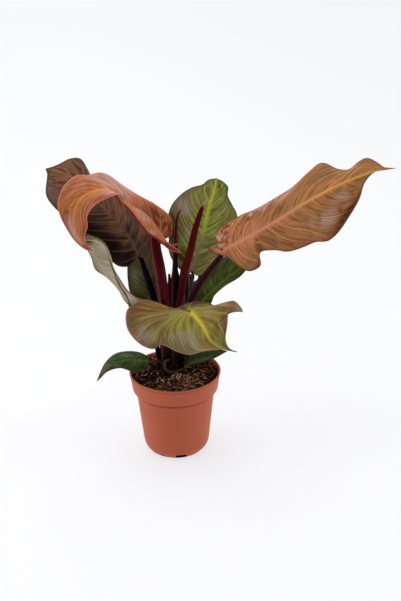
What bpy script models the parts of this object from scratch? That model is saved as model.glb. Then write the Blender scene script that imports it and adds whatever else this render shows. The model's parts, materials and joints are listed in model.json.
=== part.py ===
"""A potted sunlight philodendron, about 0.45 m wide and 0.42 m high.

A round nursery pot holds a plug of potting soil. A short crown stands in the soil with two
rolled new leaves on it, and ten stalks with heart-shaped blades stand round it. The pot's
flat underside is centred on the origin, +Z is up and -Y is the front.
"""

import math

import bmesh
import bpy
import numpy as np

MM = 0.001

POT_HEIGHT = 0.113
POT_LIP_RADIUS = 0.060
RIM_FOOT_RADIUS = 0.0555
RIM_HEIGHT = 0.023
WALL_TOP_RADIUS = 0.0515
WALL_FOOT_RADIUS = 0.043
FOOT_RADIUS = 0.0365
FOOT_CHAMFER = 0.009
POT_WALL = 0.0018
POT_FLOOR = 0.0025
RIM_FOOT = POT_HEIGHT - RIM_HEIGHT
RIM_UNDERCUT = 0.0015
RIM_INNER_RADIUS = RIM_FOOT_RADIUS - 0.0012
RIM_INNER_FOOT = RIM_FOOT + 0.006
SHOULDER = RIM_FOOT + 0.003
LIP_ROUND = 0.0007
POT_STEPS = 48
NOTCH_WIDTH = 0.0145
NOTCH_HEIGHT = 0.0045
NOTCHES = 8
FRONT_NOTCH_ANGLE = math.radians(-81)

GAP = 0.0003
SOIL_LEVEL = 0.1065
SOIL_SKIRT = 0.003
SOIL_MOUND = 0.005
SOIL_RINGS = 8
SOIL_SECTORS = 36
HOLE_CLEARANCE = 0.0006
HOLE_SIDES = 16

CROWN_CENTRE = (-0.005, 0.003)
CROWN_RADIUS = 0.0098
CROWN_TOP = 0.1180
CROWN_FOOT = 0.0950

BLADE_THICKNESS = 0.0009
STALK_SIDES = 8

# Each blade is drawn in its own frame: base to tip is the first axis, its left edge the second
# and its upper face the third, in millimetres. Base, tip, face and stalk are in the object's
# frame. A stalk point is x, y, z and the stalk's breadth there.
LEAVES = {
    "right": {
        "colour": (0.27, 0.11, 0.045),
        "base": (63, 5, 280), "tip": (269, -48, 403), "face": (-0.47, -0.75, 0.46),
        "midrib": [(27, 0, 3), (78, 2, 6), (125, 7, 8), (175, 10, 6), (216, 8, 2)],
        "left": [(-5, 16, -6), (-3, 31, -14), (26, 38, -20), (56, 36, -17), (87, 36, -11),
                 (113, 38, -8), (135, 47, -12), (155, 54, -18), (176, 34, -10), (190, 26, -4),
                 (203, 31, -9), (213, 32, -12), (229, 16, -3)],
        "right": [(-25, 17, -14), (-18, 5, -12), (5, -13, 0), (20, -33, 9), (32, -44, 11),
                  (45, -42, 6), (47, -23, -4), (67, -29, 0), (86, -40, 6), (105, -42, 3),
                  (120, -41, -2), (138, -48, 4), (151, -44, 2), (169, -30, -4), (190, -14, -4),
                  (203, 0, -1), (216, 6, 0)],
        "stalk_colour": (0.05, 0.008, 0.018),
        "stalk": [(9.7, -0.1, 96, 8), (9.7, 0.5, 125, 8.5), (12, 3, 168, 9.5),
                  (19, 2.5, 203, 11), (34, 3, 236, 9.5), (59, 7, 270, 7)],
        "rows": 26, "columns": 5,
    },
    "left_front": {
        "colour": (0.42, 0.13, 0.05),
        "base": (-15, -18, 306), "tip": (-93, -70, 313), "face": (0.42, -0.54, 0.73),
        "midrib": [(11, -8, 3), (35, -31, 22), (58, -49, 39), (69, -54, 46), (84, -56, 47),
                   (99, -54, 44), (110, -48, 40), (117, -38, 33), (118, -28, 25),
                   (115, -17, 16), (108, -8, 8)],
        "left": [(-12, 16, -3), (-23, 23, 0), (-11, 14, 7), (3, 1, 15), (16, -15, 27),
                 (30, -27, 35), (46, -38, 41), (54, -44, 49), (80, -42, 46), (95, -37, 42),
                 (103, -30, 35), (105, -20, 28), (110, -11, 15)],
        "right": [(-15, 0, -4), (-21, -4, 0), (-23, -24, 8), (-12, -43, 7), (10, -59, 11),
                  (32, -71, 21), (52, -78, 35), (68, -81, 42), (84, -80, 42), (103, -80, 44),
                  (121, -70, 40), (132, -54, 32), (132, -40, 26), (125, -25, 17),
                  (116, -11, 9), (103, -2, 2)],
        "stalk_colour": (0.16, 0.012, 0.025),
        "stalk": [(-14.2, -8.8, 96, 8.5), (-13, -9.5, 125, 9), (-10.5, -12, 178, 11),
                  (-11, -14, 214, 13.5), (-13, -15, 239, 14.5), (-16, -15, 266, 15),
                  (-19, -14, 288, 13.5), (-20, -13, 297, 11)],
        "rows": 28, "columns": 5,
    },
    "left_back": {
        "colour": (0.06, 0.028, 0.016),
        "base": (-42, 14, 269), "tip": (-150, 16, 388), "face": (0.36, -0.87, 0.34),
        "midrib": [(22, -8, 2), (64, -13, 4), (92, -12, 4), (133, -12, 3), (151, -7, 1)],
        "left": [(-1, 8, 0), (2, 18, 0), (12, 26, 0), (28, 24, 2), (47, 16, 2), (69, 18, 0),
                 (95, 27, -2), (122, 29, -4), (140, 25, -4), (154, 9, -2)],
        "right": [(-5, -10, -2), (-2, -26, -6), (15, -41, -8), (42, -50, -8), (69, -48, -8),
                  (93, -43, -8), (113, -34, -8), (124, -37, -8), (139, -39, -6),
                  (149, -29, -4), (154, -16, -2)],
        "stalk_colour": (0.03, 0.008, 0.012),
        "stalk": [(-16.1, 13, 96, 7), (-15, 13, 125, 7.5), (-18, 12, 173, 9),
                  (-24, 12, 206, 11), (-31, 13.5, 234, 10), (-37, 16, 255, 7.5),
                  (-40, 18, 264, 6)],
        "rows": 18, "columns": 4,
    },
    "back": {
        "colour": (0.09, 0.12, 0.03),
        "base": (25, 36, 237), "tip": (58, 62, 356), "face": (0.02, -0.98, 0.21),
        "midrib": [(29, 0, 3), (51, -1, 4), (74, 0, 4), (92, 0, 3), (113, -1, 1)],
        "left": [(-4, 6, 0), (0, 17, 0), (13, 32, 2), (33, 42, 2), (58, 48, 0), (78, 47, -2),
                 (94, 39, -4), (106, 28, -5), (114, 15, -3), (122, 9, -1)],
        "right": [(-3, -6, 0), (0, -15, 0), (17, -27, -2), (42, -39, -4), (68, -44, -6),
                  (88, -37, -6), (97, -29, -6), (108, -20, -5), (118, -18, -5), (124, -9, -3)],
        "stalk_colour": (0.08, 0.03, 0.025),
        "stalk": [(2, 16.2, 96, 6), (2.5, 16.5, 125, 6), (7, 18, 160, 6), (14, 23, 200, 6.5),
                  (24, 38, 231, 5)],
        "rows": 18, "columns": 4,
    },
    "back_right": {
        "colour": (0.03, 0.06, 0.015),
        "base": (36, 24, 200), "tip": (107, 50, 250), "face": (-0.1, -0.82, 0.57),
        "midrib": [(18, 1, 3), (40, 2, 4), (66, 1, 3)],
        "left": [(-5, 2, 0), (-4, 13, -3), (6, 24, -6), (27, 30, -8), (49, 29, -8), (73, 18, -4)],
        "right": [(0, -7, 0), (8, -10, 0), (18, -5, 0), (37, -4, 0), (59, -7, 0), (73, -5, 0)],
        "stalk_colour": (0.06, 0.03, 0.02),
        "stalk": [(8.2, 10, 96, 6), (8.8, 10.5, 125, 6), (14.5, 13, 160, 6),
                  (24, 20, 184, 5.5), (34, 27, 195.5, 5)],
        "rows": 14, "columns": 4,
    },
    "back_left": {
        "colour": (0.035, 0.065, 0.015),
        "base": (-31, 28, 198), "tip": (-38, 56, 295), "face": (0.11, -0.95, 0.28),
        "midrib": [(20, 0, 3), (47, 1, 4), (76, 1, 3)],
        "left": [(-2, 5, 0), (6, 15, 0), (15, 24, 0), (33, 26, 0), (56, 24, 0), (79, 18, 0)],
        "right": [(-2, -5, 0), (5, -14, 0), (23, -20, 0), (49, -22, -2), (79, -14, -2)],
        "stalk_colour": (0.05, 0.03, 0.02),
        "stalk": [(-7.1, 17.9, 96, 5.5), (-7.5, 18, 125, 5.5), (-15, 22, 165, 5.5),
                  (-25, 28, 185, 5), (-30, 32, 192.5, 4.5)],
        "rows": 14, "columns": 4,
    },
    "left_pale": {
        "colour": (0.28, 0.28, 0.2),
        "base": (-54, -22, 217), "tip": (-107, -54, 321), "face": (0.65, -0.75, 0.1),
        "midrib": [(17, -2, 3), (37, -3, 3), (71, -11, 4), (92, -16, 4), (107, -12, 2)],
        "left": [(13, 2, 0), (32, 0, 0), (55, 2, -2), (75, 7, -4), (89, 2, -5), (102, 0, -4),
                 (112, -3, -2)],
        "right": [(-7, -13, -4), (-15, -24, -7), (-1, -16, -6), (17, -12, -5), (38, -12, -3),
                  (59, -14, -2), (73, -21, -4), (88, -25, -6), (104, -20, -5), (117, -11, -3)],
        "stalk_colour": (0.03, 0.01, 0.015),
        "stalk": [(-20, 4, 96, 6.5), (-20, 3.5, 125, 6.5), (-24.5, -5, 158, 6.5),
                  (-34, -15, 184, 6), (-44, -20, 204, 5.5), (-52.5, -21, 213, 5)],
        "rows": 18, "columns": 4,
    },
    "front": {
        "colour": (0.2, 0.18, 0.04),
        "base": (22, -44, 219), "tip": (80, -74, 176), "face": (-0.11, -0.88, 0.47),
        "midrib": [(9, -1, 1), (22, -3, 2), (35, -8, 2), (45, -11, 1), (60, -9, 0)],
        "left": [(-4, -1, 0), (-19, -17, -2), (-31, -18, -3), (-51, -23, -5), (-60, -36, -5),
                 (-62, -51, -3), (-53, -63, 0), (-41, -70, 2), (-19, -72, 3), (-4, -66, 2),
                 (1, -55, 4), (21, -49, 2), (36, -41, 0), (45, -28, 1), (64, -8, 0)],
        "right": [(-3, -4, -4), (-16, -11, -12), (-15, -2, -22), (-6, 13, -30), (8, 22, -28),
                  (21, 27, -16), (29, 43, -14), (46, 41, -8), (40, 26, -2), (49, 14, 0),
                  (57, 2, 0), (67, -3, 0)],
        "stalk_colour": (0.12, 0.05, 0.03),
        "stalk": [(-1.4, -11.6, 96, 8), (-1.2, -12, 125, 8), (1.5, -14, 152, 8),
                  (8, -23, 185, 7), (19.5, -40, 212.5, 6)],
        "rows": 28, "columns": 5,
    },
    "low_left": {
        "colour": (0.025, 0.05, 0.012),
        "base": (-31, -20, 137), "tip": (-99, -52, 125), "face": (0.11, -0.56, 0.82),
        "midrib": [(14, -7, 2), (32, -13, 4), (50, -14, 3), (65, -8, 1)],
        "left": [(5, 4, 0), (15, 8, 0), (26, 6, 0), (40, -6, 0), (57, -8, 0), (69, -3, 0)],
        "right": [(0, -5, 0), (4, -14, 0), (16, -23, 0), (36, -28, 0), (53, -22, 0),
                  (68, -9, 0)],
        "stalk_colour": (0.2, 0.05, 0.03),
        "stalk": [(-19.5, -3.5, 96, 3.6), (-19.5, -4.5, 118, 3.6), (-21.5, -10, 129, 3.4),
                  (-25.5, -16, 134.5, 3.2), (-29.4, -19.4, 136, 3)],
        "rows": 14, "columns": 3,
    },
    "low_right": {
        "colour": (0.02, 0.055, 0.015),
        "base": (13, -16, 125), "tip": (70, -6, 143), "face": (-0.06, -0.8, 0.6),
        "midrib": [(13, 3, 1), (30, 3, 2), (46, 2, 1)],
        "left": [(2, 8, -3), (14, 13, -4), (31, 13, -3), (47, 8, -1)],
        "right": [(8, 0, -2), (20, -2, -2), (33, -3, -2), (47, -2, -1)],
        "stalk_colour": (0.06, 0.1, 0.02),
        "stalk": [(-6.7, -9, 131, 2), (-7.2, -15, 136, 2.6), (-12, -18.5, 135, 3.2),
                  (-11.5, -22.5, 126, 3.2), (-3, -22.5, 121.5, 3.2), (5, -19.5, 122.5, 3.2),
                  (11.3, -17, 124, 3)],
        "rows": 12, "columns": 3,
    },
}

# A rolled new leaf: x, y, z and breadth up its length.
ROLLED_LEAVES = {
    "rolled_leaf_tall": {
        "colour": (0.2, 0.008, 0.025),
        "path": [(-1, -0.6, 119, 9.5), (0, -3, 144, 10.5), (6, -6, 181, 12), (12, -8, 214, 12.5),
                 (23, -8, 268, 12.5), (29.5, -8, 300, 12), (36.5, -8, 326, 9.5),
                 (41, -8, 341, 5), (44, -8, 350, 1.2)],
    },
    "rolled_leaf_thin": {
        "colour": (0.1, 0.008, 0.02),
        "path": [(-8.8, 5.6, 119, 6.4), (-3, 4, 155, 7), (1.5, 3, 206, 8), (4, 2, 255, 7),
                 (5, 2, 291, 5.5), (5.2, 2, 297, 4.2), (6, 2, 311, 4), (8.5, 2, 329, 2.8),
                 (13, 2, 337, 1.2)],
    },
    "old_sheath": {
        "colour": (0.12, 0.02, 0.02),
        "path": [(-3.4, 9.6, 119, 4.2), (-4.5, 9.6, 153, 4.6), (-4, 9, 204, 4.8),
                 (-3.6, 8.6, 232, 4), (-4, 8.4, 246, 3)],
    },
}


def clear_scene():
    """Removes every object that the file opens with."""
    for obj in list(bpy.data.objects):
        bpy.data.objects.remove(obj, do_unlink=True)


def make_collection(name):
    """A new collection in the scene."""
    collection = bpy.data.collections.new(name)
    bpy.context.scene.collection.children.link(collection)
    return collection


def make_material(name, colour, roughness, metallic=0.0):
    """A plain Principled material."""
    material = bpy.data.materials.new(name)
    material.use_nodes = True
    shader = material.node_tree.nodes["Principled BSDF"]
    shader.inputs["Base Color"].default_value = (*colour, 1.0)
    shader.inputs["Roughness"].default_value = roughness
    shader.inputs["Metallic"].default_value = metallic
    return material


def add_object(name, mesh, material, collection):
    """An object for this mesh, with its material, in the collection."""
    mesh.materials.clear()
    mesh.materials.append(material)
    obj = bpy.data.objects.new(name, mesh)
    collection.objects.link(obj)
    return obj


def mesh_from(name, points, faces):
    """A mesh with its doubled points merged, its normals facing out and shaded smooth."""
    mesh = bpy.data.meshes.new(name)
    mesh.from_pydata([tuple(p) for p in points], [], faces)
    work = bmesh.new()
    work.from_mesh(mesh)
    bmesh.ops.remove_doubles(work, verts=work.verts, dist=0.00002)
    bmesh.ops.dissolve_degenerate(work, edges=work.edges, dist=0.00001)
    bmesh.ops.triangulate(work, faces=work.faces)
    bmesh.ops.recalc_face_normals(work, faces=work.faces)
    work.to_mesh(mesh)
    work.free()
    mesh.shade_smooth()
    return mesh


def unit(vectors):
    """Each vector at length one."""
    return vectors / np.maximum(np.linalg.norm(vectors, axis=-1, keepdims=True), 1e-9)


def smooth_curve(points, count):
    """Evenly spaced points along a smooth curve through the given ones."""
    p = np.asarray(points, float)
    p = np.vstack([2 * p[0] - p[1], p, 2 * p[-1] - p[-2]])
    t = np.linspace(0, 1, 16, endpoint=False)[:, None]
    pieces = []
    for a, b, c, d in zip(p, p[1:], p[2:], p[3:]):
        gaps = [max(np.linalg.norm((v - u)[:3]), 1e-6) ** 0.5 for u, v in ((a, b), (b, c), (c, d))]
        before, here, after = gaps
        leave = ((b - a) / before - (c - a) / (before + here) + (c - b) / here) * here
        arrive = ((c - b) / here - (d - b) / (here + after) + (d - c) / after) * here
        pieces.append((2 * t**3 - 3 * t**2 + 1) * b + (t**3 - 2 * t**2 + t) * leave
                      + (3 * t**2 - 2 * t**3) * c + (t**3 - t**2) * arrive)
    fine = np.vstack(pieces + [p[-2:-1]])
    steps = np.linalg.norm(np.diff(fine[:, :3], axis=0), axis=1)
    run = np.concatenate([[0], np.cumsum(steps)])
    at = np.linspace(0, run[-1], count)
    return np.stack([np.interp(at, run, column) for column in fine.T], axis=1)


def leaf_frame(leaf):
    """The blade's base, its length and its three axes."""
    base = np.array(leaf["base"], float)
    chord = np.array(leaf["tip"], float) - base
    along = unit(chord)
    face = np.array(leaf["face"], float)
    rise = unit(face - face.dot(along) * along)
    return base, np.linalg.norm(chord), np.array([along, np.cross(rise, along), rise])


def lobe_share(margins, length):
    """How much of a margin lies round the lobes, before it runs on beside the midrib."""
    shares = []
    for margin in margins:
        behind = np.nonzero(margin[:, 0] < 0.06 * length)[0]
        shares.append(0.85 * behind[-1] / len(margin))
    return sum(shares) / len(shares)


def half_blade(midrib, margin, fan, sign):
    """Ribs from the midrib to one margin: they fan round the lobe, then sweep to the tip."""
    samples = len(midrib)
    q = np.linspace(0, 1, len(margin))
    at = (samples - 1) * np.clip((q - fan) / (1 - fan), 0, 1) ** 1.15
    heading = unit(np.gradient(midrib, axis=0))
    root = np.stack([np.interp(at, range(samples), column) for column in midrib.T], axis=1)
    ahead = np.stack([np.interp(at, range(samples), column) for column in heading.T], axis=1)
    rib = margin - root
    reach = np.linalg.norm(rib, axis=1, keepdims=True)
    up = sign * np.cross(ahead, rib)
    up = unit(np.where(up[:, 2:] < 0, -up, up) + np.array([0, 0, 1e-3]))
    for _ in range(3):
        up[1:-1] = unit(up[:-2] + 2 * up[1:-1] + up[2:])
    back = 0.12 * reach * ahead * np.sin(np.pi * q)[:, None]
    return root, (root + margin) / 2 - back + 0.1 * reach * up, margin


def blade_grid(leaf, rows, columns):
    """World points of a blade, a row for each pair of ribs, from its left margin to its right."""
    base, length, axes = leaf_frame(leaf)
    start, end = (0, 0, 0), (length, 0, 0)
    midrib = smooth_curve([start, *leaf["midrib"], end], 200)
    margins = [smooth_curve([start, *leaf[side], end], rows + 1) for side in ("left", "right")]
    fan = lobe_share(margins, length)
    t = np.linspace(0, 1, columns + 1)[None, :, None]
    halves = []
    for margin, sign in zip(margins, (1, -1)):
        root, bend, edge = half_blade(midrib, margin, fan, sign)
        halves.append((1 - t) ** 2 * root[:, None] + 2 * t * (1 - t) * bend[:, None]
                      + t**2 * edge[:, None])
    grid = np.concatenate([halves[0][:, ::-1], halves[1][:, 1:]], axis=1)
    return base + grid @ axes


def grid_faces(rows, columns):
    """Quads between neighbouring rows of a grid."""
    across = columns + 1
    return [(r * across + c, r * across + c + 1, (r + 1) * across + c + 1, (r + 1) * across + c)
            for r in range(rows) for c in range(columns)]


def make_blade(name, leaf, collection):
    """A leaf's blade, a thin waved sheet."""
    rows, columns = leaf["rows"], leaf["columns"]
    grid = blade_grid(leaf, rows, columns) * MM
    faces = grid_faces(rows, 2 * columns)
    mesh = mesh_from(f"{name}_blade", grid.reshape(-1, 3), faces)
    material = make_material(f"{name} blade", leaf["colour"], 0.45)
    blade = add_object(f"{name}_blade", mesh, material, collection)
    thick = blade.modifiers.new("Thickness", "SOLIDIFY")
    thick.thickness = BLADE_THICKNESS
    thick.offset = 0.0
    return blade


def stem_mesh(name, path, sides, extra=0.0, flatness=0.78, per_step=2):
    """A tapering stem: oval sections, broad side to the front, square to a smooth path."""
    route = smooth_curve(path, per_step * (len(path) - 1) + 1)
    line, breadth = route[:, :3], route[:, 3] + 2 * extra
    heading = unit(np.gradient(line, axis=0))
    broad = unit(np.cross(heading, [0.0, -1.0, 0.0]))
    deep = np.cross(broad, heading)
    turns = np.linspace(0, 2 * math.pi, sides, endpoint=False)
    points = []
    for spot, width, side, front in zip(line, breadth, broad, deep):
        for turn in turns:
            offset = math.cos(turn) * side + flatness * math.sin(turn) * front
            points.append((spot + offset * width / 2) * MM)
    faces = [tuple(range(sides)), tuple(range(len(points) - sides, len(points)))]
    for ring in range(len(line) - 1):
        for k in range(sides):
            following = (k + 1) % sides
            low, high = ring * sides, (ring + 1) * sides
            faces.append((low + k, low + following, high + following, high + k))
    return mesh_from(name, points, faces)


def make_stem(name, path, colour, collection):
    """A stalk or a rolled new leaf."""
    mesh = stem_mesh(name, path, STALK_SIDES)
    return add_object(name, mesh, make_material(name, colour, 0.35), collection)


def pot_profile():
    """The pot's half section, from the middle of the floor over the lip and back underneath."""
    step = RIM_FOOT - RIM_UNDERCUT
    slope = (WALL_TOP_RADIUS - WALL_FOOT_RADIUS) / (step - FOOT_CHAMFER)
    shoulder_radius = WALL_TOP_RADIUS - POT_WALL + slope * (SHOULDER - step)
    return [
        (0.0, POT_FLOOR),
        (FOOT_RADIUS - POT_WALL, POT_FLOOR),
        (WALL_FOOT_RADIUS - POT_WALL, FOOT_CHAMFER + POT_WALL / 2),
        (shoulder_radius, SHOULDER),
        (RIM_INNER_RADIUS, RIM_INNER_FOOT),
        (POT_LIP_RADIUS - POT_WALL, POT_HEIGHT - LIP_ROUND),
        (POT_LIP_RADIUS - POT_WALL / 2, POT_HEIGHT),
        (POT_LIP_RADIUS, POT_HEIGHT - LIP_ROUND),
        (RIM_FOOT_RADIUS + LIP_ROUND / 2, RIM_FOOT + LIP_ROUND),
        (RIM_FOOT_RADIUS - LIP_ROUND / 2, RIM_FOOT),
        (WALL_TOP_RADIUS, step),
        (WALL_FOOT_RADIUS, FOOT_CHAMFER),
        (FOOT_RADIUS, 0.0),
        (0.0, 0.0),
    ]


def turned_mesh(name, profile):
    """A profile of (radius, height), to be turned round the Z axis."""
    mesh = bpy.data.meshes.new(name)
    edges = [(i, i + 1) for i in range(len(profile) - 1)]
    mesh.from_pydata([(radius, 0.0, height) for radius, height in profile], edges, [])
    return mesh


def add_screw(obj, steps):
    """A full turn round Z, closed on itself and on the axis."""
    screw = obj.modifiers.new("Turn", "SCREW")
    screw.steps = steps
    screw.render_steps = steps
    screw.use_merge_vertices = True
    screw.merge_threshold = 0.00001
    screw.use_normal_calculate = True
    return screw


def make_pot(parts, cutters):
    """The pot, with its drain notches cut round the foot."""
    mesh = turned_mesh("pot", pot_profile())
    pot = add_object("pot", mesh, make_material("pot", (0.4, 0.1, 0.05), 0.5), parts)
    add_screw(pot, POT_STEPS)
    for index in range(NOTCHES):
        angle = FRONT_NOTCH_ANGLE + index * 2 * math.pi / NOTCHES
        notch = make_notch(index, angle, cutters)
        cut = pot.modifiers.new(f"Notch {index + 1}", "BOOLEAN")
        cut.object = notch
        cut.operation = "DIFFERENCE"
    return pot


def make_notch(index, angle, cutters):
    """A box that cuts one drain notch through the foot of the wall."""
    bpy.ops.mesh.primitive_cube_add(size=1.0)
    notch = bpy.context.active_object
    notch.name = f"notch_cutter_{index + 1}"
    middle = FOOT_RADIUS + 0.0015
    notch.scale = (0.011, NOTCH_WIDTH, 2 * NOTCH_HEIGHT)
    notch.rotation_euler = (0.0, 0.0, angle)
    notch.location = (middle * math.cos(angle), middle * math.sin(angle), 0.0)
    hide_cutter(notch, cutters)
    return notch


def move_to(obj, collection):
    """Leaves the object in this collection only."""
    for other in list(obj.users_collection):
        other.objects.unlink(obj)
    collection.objects.link(obj)


def hide_cutter(obj, cutters):
    """Moves a cutter to its own collection and out of the render."""
    move_to(obj, cutters)
    obj.hide_render = True
    obj.display_type = "WIRE"


def soil_height(radius, angle, edge):
    """The soil's lumpy top, level at its edge and mounded towards the crown."""
    share = radius / edge
    mound = SOIL_MOUND * (1 - share**2)
    lumps = (math.sin(3 * angle + 9 * share) * math.sin(7 * share + 1.3)
             + 0.7 * math.sin(5 * angle - 12 * share + 0.6)
             + 0.5 * math.sin(8 * angle + 17 * share))
    return SOIL_LEVEL + mound + 0.0009 * lumps * min(1.0, 3 * share)


def soil_radius(height):
    """The pot's inner radius at this height of its rim, less the gap."""
    inner_lip = POT_LIP_RADIUS - POT_WALL
    share = (height - RIM_INNER_FOOT) / (POT_HEIGHT - LIP_ROUND - RIM_INNER_FOOT)
    return RIM_INNER_RADIUS + share * (inner_lip - RIM_INNER_RADIUS) - 2 * GAP


def soil_rings():
    """(radius, height) down the soil plug; on its top the height is None, as it varies there."""
    edge = soil_radius(SOIL_LEVEL - SOIL_SKIRT)
    top = [(edge * k / SOIL_RINGS, None) for k in range(SOIL_RINGS)]
    rim_foot = RIM_INNER_FOOT + 2 * GAP
    side = [
        (edge, SOIL_LEVEL - SOIL_SKIRT),
        (soil_radius(rim_foot), rim_foot),
        (WALL_TOP_RADIUS - POT_WALL - 2 * GAP, SHOULDER + 2 * GAP),
        (WALL_FOOT_RADIUS - POT_WALL - 3 * GAP, FOOT_CHAMFER + POT_WALL),
        (FOOT_RADIUS - 2 * POT_WALL, POT_FLOOR + GAP),
        (0.0, POT_FLOOR + GAP),
    ]
    return top + side


def make_soil(parts, cutters, stems):
    """The plug of soil, with a plain hole for each stem that stands in it."""
    edge = soil_radius(SOIL_LEVEL - SOIL_SKIRT)
    rings = soil_rings()
    points = []
    for radius, height in rings:
        for k in range(SOIL_SECTORS):
            angle = 2 * math.pi * k / SOIL_SECTORS
            z = soil_height(radius, angle, edge) if height is None else height
            points.append((radius * math.cos(angle), radius * math.sin(angle), z))
    faces = []
    for ring in range(len(rings) - 1):
        for k in range(SOIL_SECTORS):
            following = (k + 1) % SOIL_SECTORS
            low, high = ring * SOIL_SECTORS, (ring + 1) * SOIL_SECTORS
            faces.append((low + k, low + following, high + following, high + k))
    soil = add_object("soil", mesh_from("soil", points, faces),
                      make_material("soil", (0.05, 0.028, 0.018), 0.95), parts)
    for name, path in stems.items():
        hole = make_hole_cutter(name, path, cutters)
        cut = soil.modifiers.new(f"Hole {name}", "BOOLEAN")
        cut.object = hole
        cut.operation = "DIFFERENCE"
    return soil


def make_hole_cutter(name, path, cutters):
    """The lowest stretch of a stem, made round, a little thicker and longer, to cut its hole."""
    x, y, z, breadth = path[0]
    low = (x, y, z - HOLE_CLEARANCE / MM, breadth)
    mesh = stem_mesh(f"{name}_hole", [low, *path[1:3]], HOLE_SIDES, extra=HOLE_CLEARANCE / MM, flatness=1)
    hole = bpy.data.objects.new(f"{name}_hole_cutter", mesh)
    hide_cutter(hole, cutters)
    return hole


def make_crown(parts):
    """The short stem that the new leaves stand on, down into the soil."""
    middle = (*CROWN_CENTRE, (CROWN_TOP + CROWN_FOOT) / 2)
    bpy.ops.mesh.primitive_cylinder_add(vertices=24, radius=CROWN_RADIUS,
                                        depth=CROWN_TOP - CROWN_FOOT, location=middle)
    crown = bpy.context.active_object
    crown.name = "crown"
    move_to(crown, parts)
    crown.data.materials.append(make_material("crown", (0.06, 0.02, 0.015), 0.6))
    crown.data.shade_smooth()
    crown.data.set_sharp_from_angle(angle=math.radians(40))
    return crown


def crown_route():
    """The crown's middle line, for the hole that it stands in."""
    x, y = (value / MM for value in CROWN_CENTRE)
    return [(x, y, z / MM, 2 * CROWN_RADIUS / MM) for z in (CROWN_FOOT, CROWN_TOP, 0.13)]


def main():
    clear_scene()
    parts = make_collection("potted philodendron")
    cutters = make_collection("cutters")
    make_pot(parts, cutters)
    make_crown(parts)
    in_soil = {"crown": crown_route()}
    for name, leaf in LEAVES.items():
        make_blade(name, leaf, parts)
        make_stem(f"{name}_stalk", leaf["stalk"], leaf["stalk_colour"], parts)
        foot = leaf["stalk"][0]
        if foot[2] * MM < SOIL_LEVEL:
            in_soil[name] = leaf["stalk"]
    for name, leaf in ROLLED_LEAVES.items():
        make_stem(name, leaf["path"], leaf["colour"], parts)
    make_soil(parts, cutters, in_soil)


main()
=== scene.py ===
import json
import math
import random

import bmesh
import bpy
import numpy as np
from mathutils import Euler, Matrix, Quaternion, Vector, noise

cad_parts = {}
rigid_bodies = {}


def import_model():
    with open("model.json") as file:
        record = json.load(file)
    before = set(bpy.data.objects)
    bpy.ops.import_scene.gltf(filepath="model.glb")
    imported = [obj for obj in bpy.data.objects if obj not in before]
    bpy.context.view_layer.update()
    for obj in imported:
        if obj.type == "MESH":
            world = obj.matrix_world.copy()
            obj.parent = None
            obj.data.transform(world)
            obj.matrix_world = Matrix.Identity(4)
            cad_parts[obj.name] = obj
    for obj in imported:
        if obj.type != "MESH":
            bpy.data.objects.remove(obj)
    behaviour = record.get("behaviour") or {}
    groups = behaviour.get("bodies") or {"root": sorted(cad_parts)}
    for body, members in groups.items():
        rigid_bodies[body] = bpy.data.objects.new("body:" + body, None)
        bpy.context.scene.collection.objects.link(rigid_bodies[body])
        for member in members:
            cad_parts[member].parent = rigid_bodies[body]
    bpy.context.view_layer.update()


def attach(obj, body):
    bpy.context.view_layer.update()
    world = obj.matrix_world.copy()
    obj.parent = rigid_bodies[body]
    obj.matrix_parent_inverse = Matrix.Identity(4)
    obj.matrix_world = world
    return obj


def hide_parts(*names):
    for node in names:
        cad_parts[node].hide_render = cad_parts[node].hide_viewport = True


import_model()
mm = 0.001
print("stage 1: frame loaded")


def tone(red, green, blue):  # a screen colour, 0 to 255, as the linear one that shaders take
    parts = [value / 255 for value in (red, green, blue)]
    return tuple(p / 12.92 if p < 0.04045 else ((p + 0.055) / 1.055) ** 2.4 for p in parts)


def unit(vectors):
    return vectors / np.maximum(np.linalg.norm(vectors, axis=-1, keepdims=True), 1e-9)


def ease(low, high, value):  # 0 below low, 1 above high, smooth between
    share = np.clip((np.asarray(value, float) - low) / (high - low), 0, 1)
    return share * share * (3 - 2 * share)


def smoothCurve(points, count):  # evenly spaced points along a smooth curve through the given ones
    p = np.asarray(points, float)
    p = np.vstack([2 * p[0] - p[1], p, 2 * p[-1] - p[-2]])
    t = np.linspace(0, 1, 24, endpoint=False)[:, None]
    pieces = []
    for a, b, c, d in zip(p, p[1:], p[2:], p[3:]):
        gaps = [max(np.linalg.norm((v - u)[:3]), 1e-6) ** 0.5 for u, v in ((a, b), (b, c), (c, d))]
        before, here, after = gaps
        leave = ((b - a) / before - (c - a) / (before + here) + (c - b) / here) * here
        arrive = ((c - b) / here - (d - b) / (here + after) + (d - c) / after) * here
        pieces.append((2 * t**3 - 3 * t**2 + 1) * b + (t**3 - 2 * t**2 + t) * leave
                      + (3 * t**2 - 2 * t**3) * c + (t**3 - t**2) * arrive)
    fine = np.vstack(pieces + [p[-2:-1]])
    run = np.concatenate([[0], np.cumsum(np.linalg.norm(np.diff(fine[:, :3], axis=0), axis=1))])
    at = np.linspace(0, run[-1], count)
    return np.stack([np.interp(at, run, column) for column in fine.T], axis=1)


def field(points, size, seed, depth=2):  # smooth noise from -1 to 1 at each point
    return np.array([noise.fractal(Vector(p) / size + Vector((seed, seed * 1.7, -seed)), 1.0, 2.0, depth)
                     for p in points])


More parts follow.
